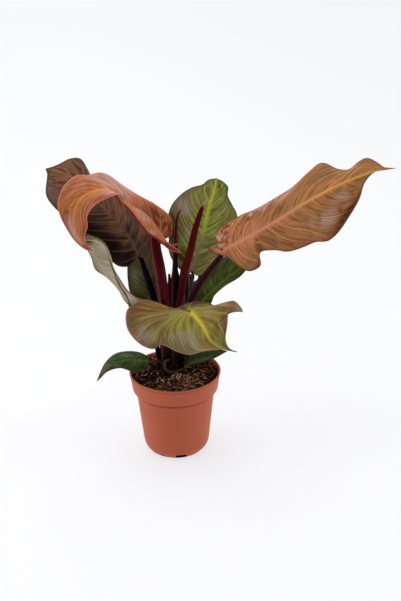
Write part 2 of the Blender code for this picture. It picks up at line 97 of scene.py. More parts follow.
def addMesh(name, points, faces, material, attributes=None, weld=0.0):
    mesh = bpy.data.meshes.new(name)
    mesh.from_pydata((np.asarray(points) * mm).tolist(), [], faces)
    for key, values in (attributes or {}).items():
        kind = "FLOAT_VECTOR" if np.ndim(values) == 2 else "FLOAT"
        layer = mesh.attributes.new(key, kind, "POINT")
        layer.data.foreach_set("vector" if kind == "FLOAT_VECTOR" else "value",
                               np.asarray(values, np.float32).ravel())
    if weld:
        work = bmesh.new()
        work.from_mesh(mesh)
        bmesh.ops.remove_doubles(work, verts=work.verts, dist=weld * mm)
        bmesh.ops.dissolve_degenerate(work, edges=work.edges, dist=weld * mm * 0.5)
        bmesh.ops.recalc_face_normals(work, faces=work.faces)
        work.to_mesh(mesh)
        work.free()
    mesh.materials.append(material)
    mesh.shade_smooth()
    obj = bpy.data.objects.new(name, mesh)
    bpy.context.scene.collection.objects.link(obj)
    return obj


def belongs(obj, slot, *nodes):  # every piece rides on the one body
    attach(obj, "root")
    if nodes:
        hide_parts(*nodes)
    return obj


class Wire:  # a node's output, so that shader maths reads as an expression
    def __init__(self, paint, socket):
        self.paint = paint
        self.socket = socket

    def __add__(self, other):
        return self.paint.math("ADD", self, other)

    def __sub__(self, other):
        return self.paint.math("SUBTRACT", self, other)

    def __rsub__(self, other):
        return self.paint.math("SUBTRACT", other, self)

    def __mul__(self, other):
        return self.paint.math("MULTIPLY", self, other)

    def __truediv__(self, other):
        return self.paint.math("DIVIDE", self, other)

    def __pow__(self, other):
        return self.paint.math("POWER", self, other)

    __radd__ = __add__
    __rmul__ = __mul__


class Paint:  # one material and the nodes that it is made of
    def __init__(self, name, settings):  # settings are the shader's own numbers
        self.material = bpy.data.materials.new(name)
        self.material.use_nodes = True
        self.tree = self.material.node_tree
        self.shader = self.tree.nodes["Principled BSDF"]
        for key, value in settings.items():
            self.shader.inputs[key].default_value = value

    def node(self, kind, settings=None, inputs=None, output=0):
        made = self.tree.nodes.new(kind)
        for key, value in (settings or {}).items():
            if key == "stops":
                self.setStops(made.color_ramp, value)
            else:
                setattr(made, key, value)
        for key, value in (inputs or {}).items():
            self.feed(made.inputs[key], value)
        return Wire(self, made.outputs[output])

    def setStops(self, ramp, stops):
        while len(ramp.elements) < len(stops):
            ramp.elements.new(0.5)
        for element, (place, colour) in zip(ramp.elements, stops):
            element.position = place
            element.color = (*colour, 1)

    def feed(self, socket, value):
        if isinstance(value, Wire):
            self.tree.links.new(value.socket, socket)
        elif isinstance(value, tuple) and len(value) == 3 and socket.type == "RGBA":
            socket.default_value = (*value, 1)
        else:
            socket.default_value = value

    def math(self, operation, a, b=0.0):
        return self.node("ShaderNodeMath", {"operation": operation}, {0: a, 1: b})

    def mix(self, share, a, b):
        return self.node("ShaderNodeMix", {"data_type": "RGBA"}, {0: share, 6: a, 7: b}, 2)

    def slope(self, value, low, high):  # 0 at low to 1 at high, smooth between
        return self.node("ShaderNodeMapRange", {"interpolation_type": "SMOOTHSTEP"},
                         {0: value, 1: low, 2: high})

    def parts(self, key):  # the three numbers of an attribute
        vector = self.node("ShaderNodeAttribute", {"attribute_name": key}, None, 1)
        return [self.node("ShaderNodeSeparateXYZ", None, {0: vector}, k) for k in range(3)]

    def number(self, key):
        return self.node("ShaderNodeAttribute", {"attribute_name": key}, None, 2)

    def vector(self, x, y, z):
        return self.node("ShaderNodeCombineXYZ", None, {0: x, 1: y, 2: z})

    def noise(self, place, scale, detail=2.0, rough=0.5):
        return self.node("ShaderNodeTexNoise", None,
                         {"Vector": place, "Scale": scale, "Detail": detail, "Roughness": rough})

    def place(self):
        return self.node("ShaderNodeTexCoord", None, None, 3)

    def ramp(self, value, stops):  # stops are (place, screen colour)
        stops = [(place, tone(*colour)) for place, colour in stops]
        return self.node("ShaderNodeValToRGB", {"stops": stops}, {0: value})

    def finish(self, **sockets):
        for key, value in sockets.items():
            self.feed(self.shader.inputs[key.replace("_", " ")], value)
        return self.material

    def bump(self, height, strength, distance):
        return self.node("ShaderNodeBump", None,
                         {"Height": height, "Strength": strength, "Distance": distance})


view = {
    "target": (0.0351, 0.0, 0.2129),
    "distance": 1.6,
    "elevation": 24.8,
    "roll": -0.96,
    "lens": 74.8,
    "sensor": 36.0,
    "farEnd": 50,
}


def addCamera():
    data = bpy.data.cameras.new("camera")
    data.sensor_fit = "VERTICAL"
    data.sensor_height = view["sensor"]
    data.lens = view["lens"]
    data.clip_end = view["farEnd"]
    camera = bpy.data.objects.new("camera", data)
    bpy.context.scene.collection.objects.link(camera)
    tilt = math.radians(view["elevation"])
    back = Vector((0, -math.cos(tilt), math.sin(tilt)))
    camera.location = Vector(view["target"]) + view["distance"] * back
    turn = back.to_track_quat("Z", "Y")
    camera.rotation_mode = "QUATERNION"
    camera.rotation_quaternion = turn @ Quaternion((0, 0, 1), math.radians(view["roll"]))
    bpy.context.scene.camera = camera


studio = {
    "skyFront": 0.2, "skyBack": 0.75, "skyBlend": 0.7,
    "lamps": [  # name, place, width, height, power
        ("topLight", (-0.3, 0.2, 3.0), 3.0, 3.0, 62),
        ("backLight", (-0.8, 4.2, 3.2), 9.0, 4.0, 90),
        ("leftLight", (-1.6, -0.3, 0.55), 0.8, 1.5, 9.5),
        ("rightLight", (1.7, -0.3, 0.55), 0.8, 1.5, 10),
        ("frontLight", (-0.4, -2.6, 2.2), 1.2, 0.8, 5),
    ],
    "aim": (0.03, 0.0, 0.2),
    "floor": (0.24, 0.24, 0.243), "floorSize": 16,
    "glow": 0.705, "glowLeft": (0.97, 0.974, 0.992), "glowRight": (0.93, 0.936, 0.955),
    "glowBlend": (-0.5, 0.6),
}


def addStudio():
    world = bpy.data.worlds.new("studio")
    world.use_nodes = True
    tree = world.node_tree
    way = tree.nodes.new("ShaderNodeTexCoord")
    split = tree.nodes.new("ShaderNodeSeparateXYZ")
    turn = tree.nodes.new("ShaderNodeMapRange")
    tree.links.new(way.outputs["Generated"], split.inputs[0])
    tree.links.new(split.outputs["Y"], turn.inputs[0])
    blend = studio["skyBlend"]
    for socket, value in ((1, -blend), (2, blend), (3, studio["skyFront"]), (4, studio["skyBack"])):
        turn.inputs[socket].default_value = value
    tree.links.new(turn.outputs[0], tree.nodes["Background"].inputs["Strength"])
    tree.nodes["Background"].inputs["Color"].default_value = (1, 1, 1, 1)
    bpy.context.scene.world = world
    for name, place, width, height, power in studio["lamps"]:
        data = bpy.data.lights.new(name, "AREA")
        data.shape = "RECTANGLE"
        data.size = width
        data.size_y = height
        data.energy = power
        lamp = bpy.data.objects.new(name, data)
        lamp.location = place
        if name != "backLight":  # that one hangs level and only lights the far floor
            aim = Vector(studio["aim"]) - Vector(place)
            lamp.rotation_euler = aim.to_track_quat("-Z", "Y").to_euler()
        bpy.context.scene.collection.objects.link(lamp)
    bpy.ops.mesh.primitive_plane_add(size=studio["floorSize"])
    floor = bpy.context.active_object
    floor.name = "studioFloor"
    paint = Paint("floor", {"Base Color": (*studio["floor"], 1), "Roughness": 0.9,
                            "Specular IOR Level": 0.1, "Emission Strength": studio["glow"]})
    across = paint.node("ShaderNodeSeparateXYZ", None, {0: paint.place()}, 0)
    side = paint.slope(across, *studio["glowBlend"])
    paint.finish(Emission_Color=paint.mix(side, studio["glowLeft"], studio["glowRight"]))
    floor.data.materials.append(paint.material)
    bpy.context.scene.view_settings.view_transform = "Standard"


addCamera()
addStudio()
print("stage 2: camera and studio")


pot = {
    "height": 113, "lipRadius": 60, "rimFootRadius": 55.5, "rimHeight": 24.3,
    "wallTopRadius": 51.5, "wallFootRadius": 43, "footRadius": 36.5, "footChamfer": 9,
    "wall": 1.8, "floor": 2.5, "steps": 160,
    "notches": 8, "notchWidth": 14.5, "notchHeight": 4.5, "notchDepth": 16, "sill": 0.4,
    "frontNotch": -81, "frontNotchHeight": 7.4,
    "plastic": (181, 86, 51), "cloud": (171, 80, 47), "fleck": (190, 104, 72), "scuff": (150, 74, 46),
    # the last two tones are painted shade: lines under the rim and lip, and the inside of the front notch
    "creaseShade": (84, 40, 26), "hollowShade": (12, 8, 7),
}


def filleted(corners):  # (radius, height, fillet) corners to a finer outline with rounded corners
    outline = []
    for k, (x, z, size) in enumerate(corners):
        here = np.array([x, z], float)
        if not size or k in (0, len(corners) - 1):
            outline.append(here)
            continue
        before = np.array(corners[k - 1][:2], float) - here
        after = np.array(corners[k + 1][:2], float) - here
        start = here + unit(before) * min(size, np.linalg.norm(before) * 0.48)
        end = here + unit(after) * min(size, np.linalg.norm(after) * 0.48)
        for t in np.linspace(0, 1, 6):
            outline.append((1 - t) ** 2 * start + 2 * t * (1 - t) * here + t**2 * end)
    return outline


def potPaint():
    paint = Paint("potPlastic", {"Specular IOR Level": 0.3})
    place = paint.place()
    grain = paint.noise(place, 900, 3)
    cloud = paint.noise(place, 28, 3)
    base = paint.mix(cloud, tone(*pot["plastic"]), tone(*pot["cloud"]))
    base = paint.mix(paint.slope(grain, 0.58, 0.75) * 0.35, base, tone(*pot["fleck"]))
    scuff = paint.slope(paint.noise(place, 160, 4, 0.65), 0.6, 0.74)
    base = paint.mix(scuff * 0.3, base, tone(*pot["scuff"]))
    x, y, z = (paint.node("ShaderNodeSeparateXYZ", None, {0: place}, k) for k in range(3))
    out = (x * x + y * y) ** 0.5 * 1000
    foot = pot["height"] - pot["rimHeight"]
    for height, half, strength in ((foot - 3.2, 2.4, 0.5), (pot["height"] - 3.4, 1.3, 0.4)):  # painted shade lines under the rim and under the lip
        creaseShade = 1 - paint.slope(paint.math("ABSOLUTE", z * 1000 - height), half * 0.4, half)
        base = paint.mix(creaseShade * strength, base, tone(*pot["creaseShade"]))
    angle = math.radians(pot["frontNotch"])
    aside = paint.math("ABSOLUTE", x * -math.sin(angle) + y * math.cos(angle)) * 1000
    ahead = (x * math.cos(angle) + y * math.sin(angle)) * 1000
    half, top, outside = pot["notchWidth"] / 2, pot["frontNotchHeight"] + 0.1, pot["footRadius"] + 0.9
    hollowShade = (1 - paint.slope(aside, half + 0.05, half + 0.25)) * paint.slope(ahead, 10, 11)
    hollowShade = hollowShade * (1 - paint.slope(z * 1000, top, top + 0.1))  # painted shade inside the front notch
    hollowShade = hollowShade * (1 - paint.slope(out, outside, outside + 0.3))
    base = paint.mix(hollowShade, base, tone(*pot["hollowShade"]))
    return paint.finish(Base_Color=base, Roughness=0.46 + 0.12 * cloud + 0.1 * scuff,
                        Normal=paint.bump(grain, 0.08, 0.0004))


def addPot():
    rimFoot = pot["height"] - pot["rimHeight"]
    lip, rim, wall = pot["lipRadius"], pot["rimFootRadius"], pot["wall"]
    corners = [
        (0, pot["floor"], 0), (pot["footRadius"] - wall, pot["floor"], 2),
        (pot["wallFootRadius"] - wall, pot["footChamfer"] + 1, 3),
        (pot["wallTopRadius"] - wall + 0.4, rimFoot + 3, 1.5), (rim - wall + 0.6, rimFoot + 6, 1.5),
        (lip - wall, pot["height"], 0.8), (lip, pot["height"], 0.9),
        (lip, pot["height"] - 2.4, 0.5), (lip - 0.55, pot["height"] - 2.8, 0.5),
        (rim + 0.6, rimFoot, 0.8), (pot["wallTopRadius"] + 0.2, rimFoot + 0.4, 0.8),
        (pot["wallTopRadius"] - 0.6, rimFoot - 1.6, 0.8), (pot["wallTopRadius"] - 0.1, rimFoot - 4, 1.6),
        (pot["wallFootRadius"], pot["footChamfer"], 6),
        (pot["footRadius"] + 1, 1.1, 1.4), (pot["footRadius"] - 1.2, 0, 0.8), (0, 0, 0),
    ]
    outline = filleted(corners)
    mesh = bpy.data.meshes.new("nurseryPot")
    mesh.from_pydata([(x * mm, 0, z * mm) for x, z in outline],
                     [(k, k + 1) for k in range(len(outline) - 1)], [])
    obj = bpy.data.objects.new("nurseryPot", mesh)
    bpy.context.scene.collection.objects.link(obj)
    mesh.materials.append(potPaint())
    screw = obj.modifiers.new("turn", "SCREW")
    screw.steps = screw.render_steps = pot["steps"]
    screw.use_merge_vertices = True
    screw.merge_threshold = 0.00001
    screw.use_normal_calculate = True
    for k in range(pot["notches"]):
        angle = math.radians(pot["frontNotch"] + 360 / pot["notches"] * k)
        bpy.ops.mesh.primitive_cube_add(size=1)
        cutter = bpy.context.active_object
        cutter.name = f"notchCutter{k}"
        height = pot["notchHeight"] if k else pot["frontNotchHeight"]
        cutter.scale = (pot["notchDepth"] * mm, pot["notchWidth"] * mm, (height - pot["sill"]) * mm)
        cutter.rotation_euler.z = angle
        reach = (pot["footRadius"] + 2) * mm
        cutter.location = (reach * math.cos(angle), reach * math.sin(angle),
                           (height + pot["sill"]) / 2 * mm)
        bpy.context.view_layer.update()
        cut = obj.modifiers.new(cutter.name, "BOOLEAN")
        cut.object = cutter
        cut.operation = "DIFFERENCE"
    graph = bpy.context.evaluated_depsgraph_get()
    done = bpy.data.meshes.new_from_object(obj.evaluated_get(graph))
    obj.modifiers.clear()
    obj.data = done
    for cutter in [o for o in bpy.data.objects if o.name.startswith("notchCutter")]:
        bpy.data.objects.remove(cutter)
    done.shade_smooth()
    done.set_sharp_from_angle(angle=math.radians(38))
    belongs(obj, "pot_plastic", "pot")


addPot()
print("stage 3: pot")


# Each blade is drawn in its own frame, in millimetres: along from base to tip, towards its left edge,
# and up from its face. A stalk point is x, y, z and breadth. In hundredths are a vein's start on the
# midrib, its end on the margin and its strength, and an oval's row, signed reach and two half sizes. A
# colour's ovals then give a strength, a push's its shift, and a wrinkle's its height and fold size.
smallVeins = 2 * ([(5, 5, 30), (12, 18, 50), (20, 33, 40), (30, 46, 50), (42, 60, 40), (54, 72, 50),
    (66, 82, 40), (78, 90, 40), (90, 98, 30)],)
lowVeins = 2 * ([(5, 5, 30), (14, 20, 40), (25, 36, 30), (38, 52, 40), (52, 66, 30), (68, 80, 30),
    (84, 93, 20)],)

# Of the colour ovals, the sheen ones are a painted reflection, and the shade ones are painted shade that also
# darkens some patches of the leaf's own colour.
leaves = {
    "right": {
        "base": (63, 5, 280), "tip": (269, -48, 403), "face": (-0.47, -0.75, 0.46), "rows": 170,
        "ribBreadth": 5.9, "quilt": 0.6, "grain": 8, "lines": 0.85, "node": "right",
        "join": ((6, 5.2), (15, 2.2)), "sweep": 1.3, "ribTurn": (0.35, 0.75), "bladeSlot": "blade_salmon",
        "stalkSlot": "stalk_maroon",
        "midrib": [(27, 0, 3), (78, 2, 6), (125, 7, 8), (175, 10, 6), (216, 8, 2)],
        "left": [(-5, 16, -6), (-3, 31, -14), (26, 38, -20), (56, 36, -17), (87, 36, -11), (113, 38, -8),
            (135, 47, -12), (155, 54, -18), (176, 34, -10), (190, 26, -4), (203, 31, -9), (213, 32, -12),
            (227, 16.5, -4), (232, 8.4, -1), (239, 4, 0)],
        "right": [(-17.7, 12.4, 1.7), (-10.7, 0.4, 3.7), (5, -13, 0), (20, -33, 9), (32, -44, 11),
            (45, -42, 6), (47, -23, -4), (67, -29, 0), (86, -40, 6), (105, -42, 3), (120, -41, -2),
            (138, -48, 4), (151, -44, 2), (169, -30, -4), (190, -14, -4), (203, 0, -1), (215, 6, 0),
            (222, 7, 0), (232.5, 6.2, -1), (239, 2.8, 0)],
        "stalk": [(9.7, -0.1, 96, 8), (9.7, 0.5, 125, 8.5), (12, 3, 168, 9.5), (20, 2.5, 203, 9.6),
            (35, 3, 236, 9), (60, 8, 268, 7)],
        "veins": ([(10, 10, 30), (16, 16.5, 50), (20, 23, 60), (28.5, 30, 100), (35, 38, 30), (42, 46, 80),
            (49, 56, 50), (54.5, 65, 40), (60, 76, 90), (66, 82, 30), (72, 88, 70), (80, 94, 60),
            (88, 98.5, 40)],
            [(8, 7, 30), (15, 16, 40), (20, 25, 50), (23.5, 33.5, 90), (32.7, 44, 100), (42, 58.5, 80),
            (47.5, 69, 100), (51, 74, 50), (58.5, 80, 80), (65, 84, 40), (73, 88, 40), (82, 93, 30),
            (90, 97.5, 30)]),
        "warm": [(14, 20, 14, 100, 100), (33, 0, 10, 50, 90), (50, -15, 10, 30, 50)],
        "shade": [(4, -98, 6, 30, 80), (76, -98, 10, 22, 100), (33, -97, 5, 16, 80), (66, 60, 14, 40, 42),
            (86, 80, 10, 50, 40), (48, 50, 10, 40, 35), (55, -75, 10, 35, 30), (30, 60, 5, 30, 35)],
        "paintedSheen": [(69, -60, 5, 22, 75), (63, -50, 6, 12, 50), (77, -40, 5, 25, 60), (46, 78, 6, 18, 80),
            (33, 92, 10, 14, 90), (80, 86, 3, 30, 70), (12, 45, 7, 40, 50), (38, -50, 5, 20, 35)],
        "wrinkles": [(12, 50, 8.5, 50, 2.6, 5.5), (30, 80, 12, 30, 1.2, 8), (70, -60, 20, 40, 0.5, 8)],
    },
    "leftFront": {
        "base": (-15, -18, 306), "tip": (-93, -70, 313), "face": (0.42, -0.54, 0.73), "rows": 170,
        "ribBreadth": 3, "quilt": 0.4, "node": "left_front", "join": (), "ribFoot": 1.6, "sweep": 1,
        "ribTurn": (0.8, 1), "gloss": 0.1, "grain": 8, "bladeSlot": "blade_orange",
        "stalkSlot": "stalk_red",
        "midrib": [(11, -8, 3), (35, -31, 22), (58, -49, 39), (69, -54, 46), (84, -56, 47), (99, -54, 44),
            (110, -48, 40), (117, -38, 33), (118, -28, 25), (115, -17, 16), (108, -8, 8)],
        "left": [(-12, 16, -3), (-23, 23, 0), (-11, 14, 7), (3, 1, 15), (16, -15, 27), (30, -27, 35),
            (46, -38, 41), (54, -44, 49), (80, -42, 46), (95, -37, 42), (103, -30, 35), (105, -20, 28),
            (110, -11, 15)],
        "right": [(-13.7, -3.9, -4), (-21, -5, 0), (-23, -24, 8), (-12, -43, 7), (10, -59, 11),
            (32, -71, 21), (52, -78, 35), (68, -81, 42), (84, -80, 42), (103, -80, 44), (121, -70, 40),
            (132, -54, 32), (132, -40, 26), (125, -25, 17), (116, -11, 9), (103, -2, 2)],
        "stalk": [(-14.2, -8.8, 96, 8.5), (-13, -9.5, 125, 9), (-10.5, -12, 178, 11), (-11, -14, 214, 13.5),
            (-13, -15, 239, 14.5), (-16, -15, 266, 15), (-19.5, -11, 286, 14.5), (-21, -9, 298, 14),
            (-22, -8, 306, 11), (-24, -11, 313, 4)],
        "pushes": [(0, 0, 9, 200, (0.4, 0, -3.4)), (90, 95, 6, 60, (3, 0, 0.5)),
            (20, 95, 5, 40, (-2, 0, -1.5)), (50, 95, 3, 35, (-1.6, 0, -2.4))],
        "veins": ([(6, 5, 20), (14, 15, 20), (22, 26, 20), (30, 40, 20), (40, 55, 30), (50, 72, 50),
            (57, 90, 60), (64, 100, 70), (72, 110, 50), (80, 120, 40)],
            [(6, 5, 30), (14, 13, 40), (20, 20, 40), (26, 27, 30), (32, 36, 30), (42, 52, 40), (52, 64, 50),
            (60, 72, 50), (65, 77, 80), (73, 84, 40), (82, 92, 50), (90, 98, 30)]),
        "warm": [(78, -80, 16, 50, 90), (74, 10, 10, 50, 50), (30, 50, 12, 50, 80)],
        "shade": [(8, -50, 16, 50, 100), (28, -40, 12, 22, 100), (22, -66, 7, 16, 100),
            (87, -98, 8, 15, 90), (92, 85, 9, 50, 80), (57, 50, 4.5, 70, 90), (6, 70, 12, 60, 90),
            (45, 2, 14, 12, 90), (98.5, 30, 2, 120, 100)],
        "paintedSheen": [(50, -75, 12, 50, 80), (40, -100, 11, 20, 100), (50, 90, 3, 25, 100),
            (60, 60, 8, 50, 100), (61, 0, 5, 30, 60), (30, 10, 3, 60, 70), (88, -40, 7, 40, 100),
            (70, -60, 5, 12, 50), (42, 60, 7, 35, 75), (75, 92, 8, 16, 60)],
        "blush": [(12, 70, 8, 50, 100), (97, 0, 3, 120, 80), (87, -100, 10, 14, 70)],
        "wrinkles": [(12, -60, 14, 45, 2, 5), (40, 60, 25, 50, 0.4, 3.5), (80, -30, 20, 80, 0.5, 9)],
    },
    "leftBack": {
        "base": (-42, 14, 269), "tip": (-150, 16, 388), "face": (0.36, -0.87, 0.34), "rows": 130,
        "ribBreadth": 2.4, "quilt": 0.5, "node": "left_back", "grain": 8, "lines": 1,
        "join": ((-1, 3.5), (8, 1.6)), "sweep": 1.1, "rough": 0.36, "bladeSlot": "blade_maroon",
        "stalkSlot": "stalk_maroon",
        "midrib": [(22, -8, 2), (64, -13, 4), (92, -12, 4), (133, -12, 3), (151, -7, 1)],
        "left": [(-1, 8, 0), (2, 18, 0), (12, 27, 0), (28, 29, 2), (47, 26, 2), (69, 26, 0), (95, 28, -2),
            (122, 29, -4), (140, 25, -4), (154, 9, -2)],
        "right": [(-5, -10, -2), (-2, -26, -6), (15, -41, -8), (42, -50, -8), (69, -48, -8), (93, -43, -8),
            (113, -34, -8), (124, -37, -8), (139, -39, -6), (149, -29, -4), (154, -16, -2)],
        "stalk": [(-16.1, 13, 96, 7), (-15, 13, 125, 7.5), (-18, 12, 173, 9), (-24, 12, 206, 11),
            (-31, 13.5, 234, 10), (-37, 16, 255, 7.5), (-40, 18, 264, 6)],
        "pushes": [(100, 0, 2.2, 300, (-3.5, -1, 0.6)), (47, 100, 3, 30, (0, 0, -2.2))],
        "veins": ([(5, 4, 40), (10, 10, 40), (15, 20, 50), (22, 32, 50), (30, 43, 50), (38, 53, 40),
            (46, 62, 50), (54, 70, 40), (62, 77, 30), (70, 83, 30), (78, 89, 30), (87, 95, 40)],
            [(5, 4, 30), (10, 10, 30), (16, 20, 40), (24, 32, 30), (33, 44, 30), (45, 62, 100),
            (54, 70, 40), (62, 77, 40), (70, 83, 50), (78, 90, 80), (86, 97, 80)]),
        "warm": [(92, 0, 16, 130, 100), (27, -45, 8, 30, 50), (52, -30, 14, 50, 60)],
        "shade": [(33, 75, 20, 45, 100), (18, 50, 12, 60, 90), (50, 85, 16, 40, 90), (6, -80, 6, 40, 60)],
        "paintedSheen": [(82, 85, 12, 35, 90), (40, -30, 10, 20, 60), (68, -90, 8, 30, 80), (30, -60, 6, 20, 30)],
    },
    "back": {
        "base": (25, 36, 237), "tip": (58, 62, 356), "face": (0.02, -0.98, 0.21), "rows": 130,
        "ribBreadth": 4, "ribTaper": 0.5, "ribGlow": 0.5, "quilt": 0.5, "node": "back", "sweep": 1.1,
        "ribTurn": (0.3, 0.6), "veinForce": 0.6, "grain": 7, "drift": 0.7, "bladeSlot": "blade_green",
        "stalkSlot": "stalk_maroon",
        "midrib": [(29, 0, 3), (51, -1, 4), (74, 0, 4), (92, 0, 3), (113, -1, 1)],
        "left": [(-4, 6, 0), (0, 17, 0), (13, 32, 2), (33, 42, 2), (58, 48, 0), (78, 47, -2), (94, 39, -4),
            (106, 28, -5), (114, 15, -3), (122, 9, -1)],
        "right": [(-3, -6, 0), (0, -15, 0), (17, -27, -2), (42, -39, -4), (68, -44, -6), (88, -37, -6),
            (97, -29, -6), (108, -20, -5), (118, -18, -5), (124, -9, -3)],
        "stalk": [(2, 16.2, 96, 6), (3, 16.5, 125, 6), (9, 18, 160, 7), (16.3, 23, 200, 8),
            (20.5, 30, 217, 7), (25.5, 38, 231, 5)],
        "pushes": [(37, 100, 6, 30, (2.5, 0, 0))],
        "veins": ([(4, 4, 30), (8, 14, 40), (14, 30, 40), (22, 42, 40), (33, 56, 50), (43, 66, 60),
            (55, 75, 90), (64, 80, 60), (70, 84, 60), (80, 91, 90), (90, 97, 50)],
            [(4, 4, 30), (8, 14, 30), (14, 28, 30), (25, 44, 30), (36, 55, 40), (48, 66, 30), (57, 74, 40),
            (63.5, 78, 70), (77.5, 86, 100), (88.5, 93, 60)]),
        "warm": [(18, -75, 14, 35, 80), (18, 80, 14, 35, 90), (68, 85, 12, 45, 90), (50, 97, 14, 20, 60),
            (95, -60, 2.5, 40, 100), (20, 20, 12, 100, 80), (30, -40, 10, 40, 70)],
        "shade": [(45, 90, 16, 40, 95), (28, 50, 10, 50, 80), (12, 60, 8, 70, 70), (85, -98, 10, 10, 80),
            (91, -45, 2, 14, 100)],
        "paintedSheen": [(66, 70, 7, 30, 90), (50, 35, 8, 20, 60), (42, -20, 12, 25, 40)],
    },
    "backRight": {
        "base": (36, 24, 200), "tip": (107, 50, 250), "face": (-0.1, -0.82, 0.57), "rows": 100,
        "join": ((3, 2.4), (11, 1.3)), "ribBreadth": 2.2, "quilt": 0.4, "node": "back_right",
        "veinForce": 0.4, "lines": 0.8, "sweep": 1.1, "rough": 0.36, "bladeSlot": "blade_green",
        "stalkSlot": "stalk_green",
        "midrib": [(18, 1, 3), (40, 2, 4), (66, 1, 3)],
        "left": [(-5, 2, 0), (-5, 14, -3), (3, 28, -6), (25, 36, -8), (50, 33, -8), (73, 20, -4)],
        "right": [(0, -7, 0), (8, -10, 0), (18, -5, 0), (37, -4, 0), (59, -7, 0), (73, -5, 0)],
        "stalk": [(8.2, 10, 96, 6), (8.8, 10.5, 125, 6), (14.5, 13, 160, 6), (24, 20, 184, 5.5),
            (34, 27, 195.5, 5)],
        "pushes": [(35, 100, 5, 50, (3.6, -2.6, -3.6))],
        "veins": smallVeins,
        "warm": [(60, 95, 20, 16, 70), (50, -90, 30, 30, 60)],
        "shade": [(15, 60, 20, 60, 90), (40, 80, 30, 30, 60)],
        "paintedSheen": [(50, -60, 12, 30, 50)],
    },
    "backLeft": {
        "base": (-31, 28, 198), "tip": (-38, 56, 295), "face": (0.11, -0.95, 0.28), "rows": 100,
        "join": ((3, 1.8), (10, 1.2)), "ribBreadth": 2.2, "quilt": 0.4, "node": "back_left",
        "veinForce": 0.4, "lines": 0.8, "sweep": 1.1, "rough": 0.36, "bladeSlot": "blade_green",
        "stalkSlot": "stalk_green",
        "midrib": [(20, 0, 3), (47, 1, 4), (76, 1, 3)],
        "left": [(-2, 5, 0), (6, 15, 0), (15, 24, 0), (33, 26, 0), (56, 24, 0), (79, 18, 0)],
        "right": [(-2, -5, 0), (5, -14, 0), (23, -20, 0), (49, -22, -2), (79, -14, -2)],
        "stalk": [(-7.1, 17.9, 96, 5.5), (-7.5, 18, 125, 5.5), (-15, 22, 165, 5.5), (-25, 28, 185, 5),
            (-30, 32, 192.5, 4.5)],
        "veins": smallVeins,
        "warm": [(50, 10, 18, 50, 100), (75, 20, 10, 80, 90)],
        "shade": [(15, 60, 14, 50, 80), (30, -80, 30, 40, 90)],
        "paintedSheen": [(46, 60, 16, 30, 90)],
    },
    "leftPale": {
        "base": (-54, -22, 217), "tip": (-107, -54, 321), "face": (0.65, -0.75, 0.1), "rows": 110,
        "ribBreadth": 2, "quilt": 0.3, "turned": True, "node": "left_pale", "sweep": 1.1,
        "bladeSlot": "blade_grey", "stalkSlot": "stalk_maroon",
        "midrib": [(17, -2, 3), (37, -3, 3), (71, -11, 4), (92, -16, 4), (107, -12, 2)],
        "left": [(13, 2, 0), (32, 0, 0), (55, 2, -2), (75, 7, -4), (89, 2, -5), (102, 0, -4),
            (112, -3, -2)],
        "right": [(-7, -13, -4), (-15, -24, -7), (-1, -16, -6), (17, -12, -5), (38, -12, -3), (59, -14, -2),
            (73, -21, -4), (88, -25, -6), (104, -20, -5), (117, -11, -3)],
        "stalk": [(-20, 4, 96, 6.5), (-20, 3.5, 125, 6.5), (-24.5, -5, 158, 6.5), (-34, -15, 184, 6),
            (-44, -20, 204, 5.5), (-52.5, -21, 213, 5)],
        "pushes": [(95, -80, 4, 50, (-1, 0, 2.4))],
        "veins": 2 * ([(5, 5, 30), (10, 15, 40), (16, 28, 40), (25, 40, 50), (34, 50, 40), (44, 60, 50),
            (54, 70, 40), (65, 80, 40), (76, 88, 40), (88, 96, 30)],),
        "warm": [(82, -75, 12, 35, 90), (55, 95, 12, 15, 80)],
        "shade": [(94, 40, 7, 110, 90), (20, -100, 12, 20, 90), (93, -90, 8, 50, 100),
            (42, -95, 12, 30, 100)],
        "paintedSheen": [(50, 20, 20, 30, 60), (24, -35, 14, 50, 100), (78, -10, 10, 30, 50)],
    },
    "front": {
        "base": (22, -44, 219), "tip": (80, -74, 176), "face": (-0.11, -0.88, 0.47), "rows": 170,
        "ribBreadth": 3.6, "quilt": 0.5, "node": "front", "grain": 7, "veinForce": 0.45, "ribGlow": 0.5,
        "ribStart": 0.05, "drift": 0.8, "join": ((2, 4.4), (12, 1.6)), "sweep": 0.95, "ribTurn": (0.3, 0.7),
        "veinBreadth": 1.9, "bladeSlot": "blade_bronze", "stalkSlot": "stalk_red",
        "midrib": [(9, -1, 1), (22, -3, 2), (35, -8, 2), (45, -11, 1), (60, -9, 0)],
        "left": [(-4, -1, 0), (-19, -17, -2), (-31, -18, -3), (-51, -23, -5), (-60, -36, -5),
            (-62, -51, -3), (-53, -63, 0), (-41, -70, 2), (-19, -72, 3), (-4, -66, 2), (1, -55, 4),
            (21, -49, 2), (36, -41, 0), (45, -28, 1), (64, -8, 0)],
        "right": [(-3, -4, -1.5), (-16, -11, -12), (-15, -2, -22), (-6, 13, -30), (8, 22, -28),
            (21, 27, -16), (32, 45, -14), (51, 41, -9), (38, 31, -4), (47, 17, 0), (57, 2, 0), (67, -3, 0)],
        "stalk": [(-1.4, -11.6, 96, 8), (-1.2, -12, 125, 8), (1.5, -14, 152, 8), (8, -23, 185, 7),
            (18, -37, 208.5, 5.5)],
        "pushes": [(30, 45, 12, 32, (0, 0, -6)), (12, 80, 9, 50, (0, 0, -4.5)),
            (65, -70, 4, 25, (-1.5, 0, 7))],
        "veins": ([(10, 10, 20), (17, 18, 30), (24, 25, 40), (30, 32, 30), (34.5, 37.5, 50), (37, 41, 80),
            (38.5, 49, 30), (39.5, 58, 70), (40, 71, 100), (40.5, 80, 50), (41.5, 104, 100), (50, 115, 30),
            (62, 120, 40), (75, 125, 20)],
            [(10, 10, 20), (20, 25, 30), (28, 42, 50), (34, 60, 40), (39, 80, 70), (42, 100, 80),
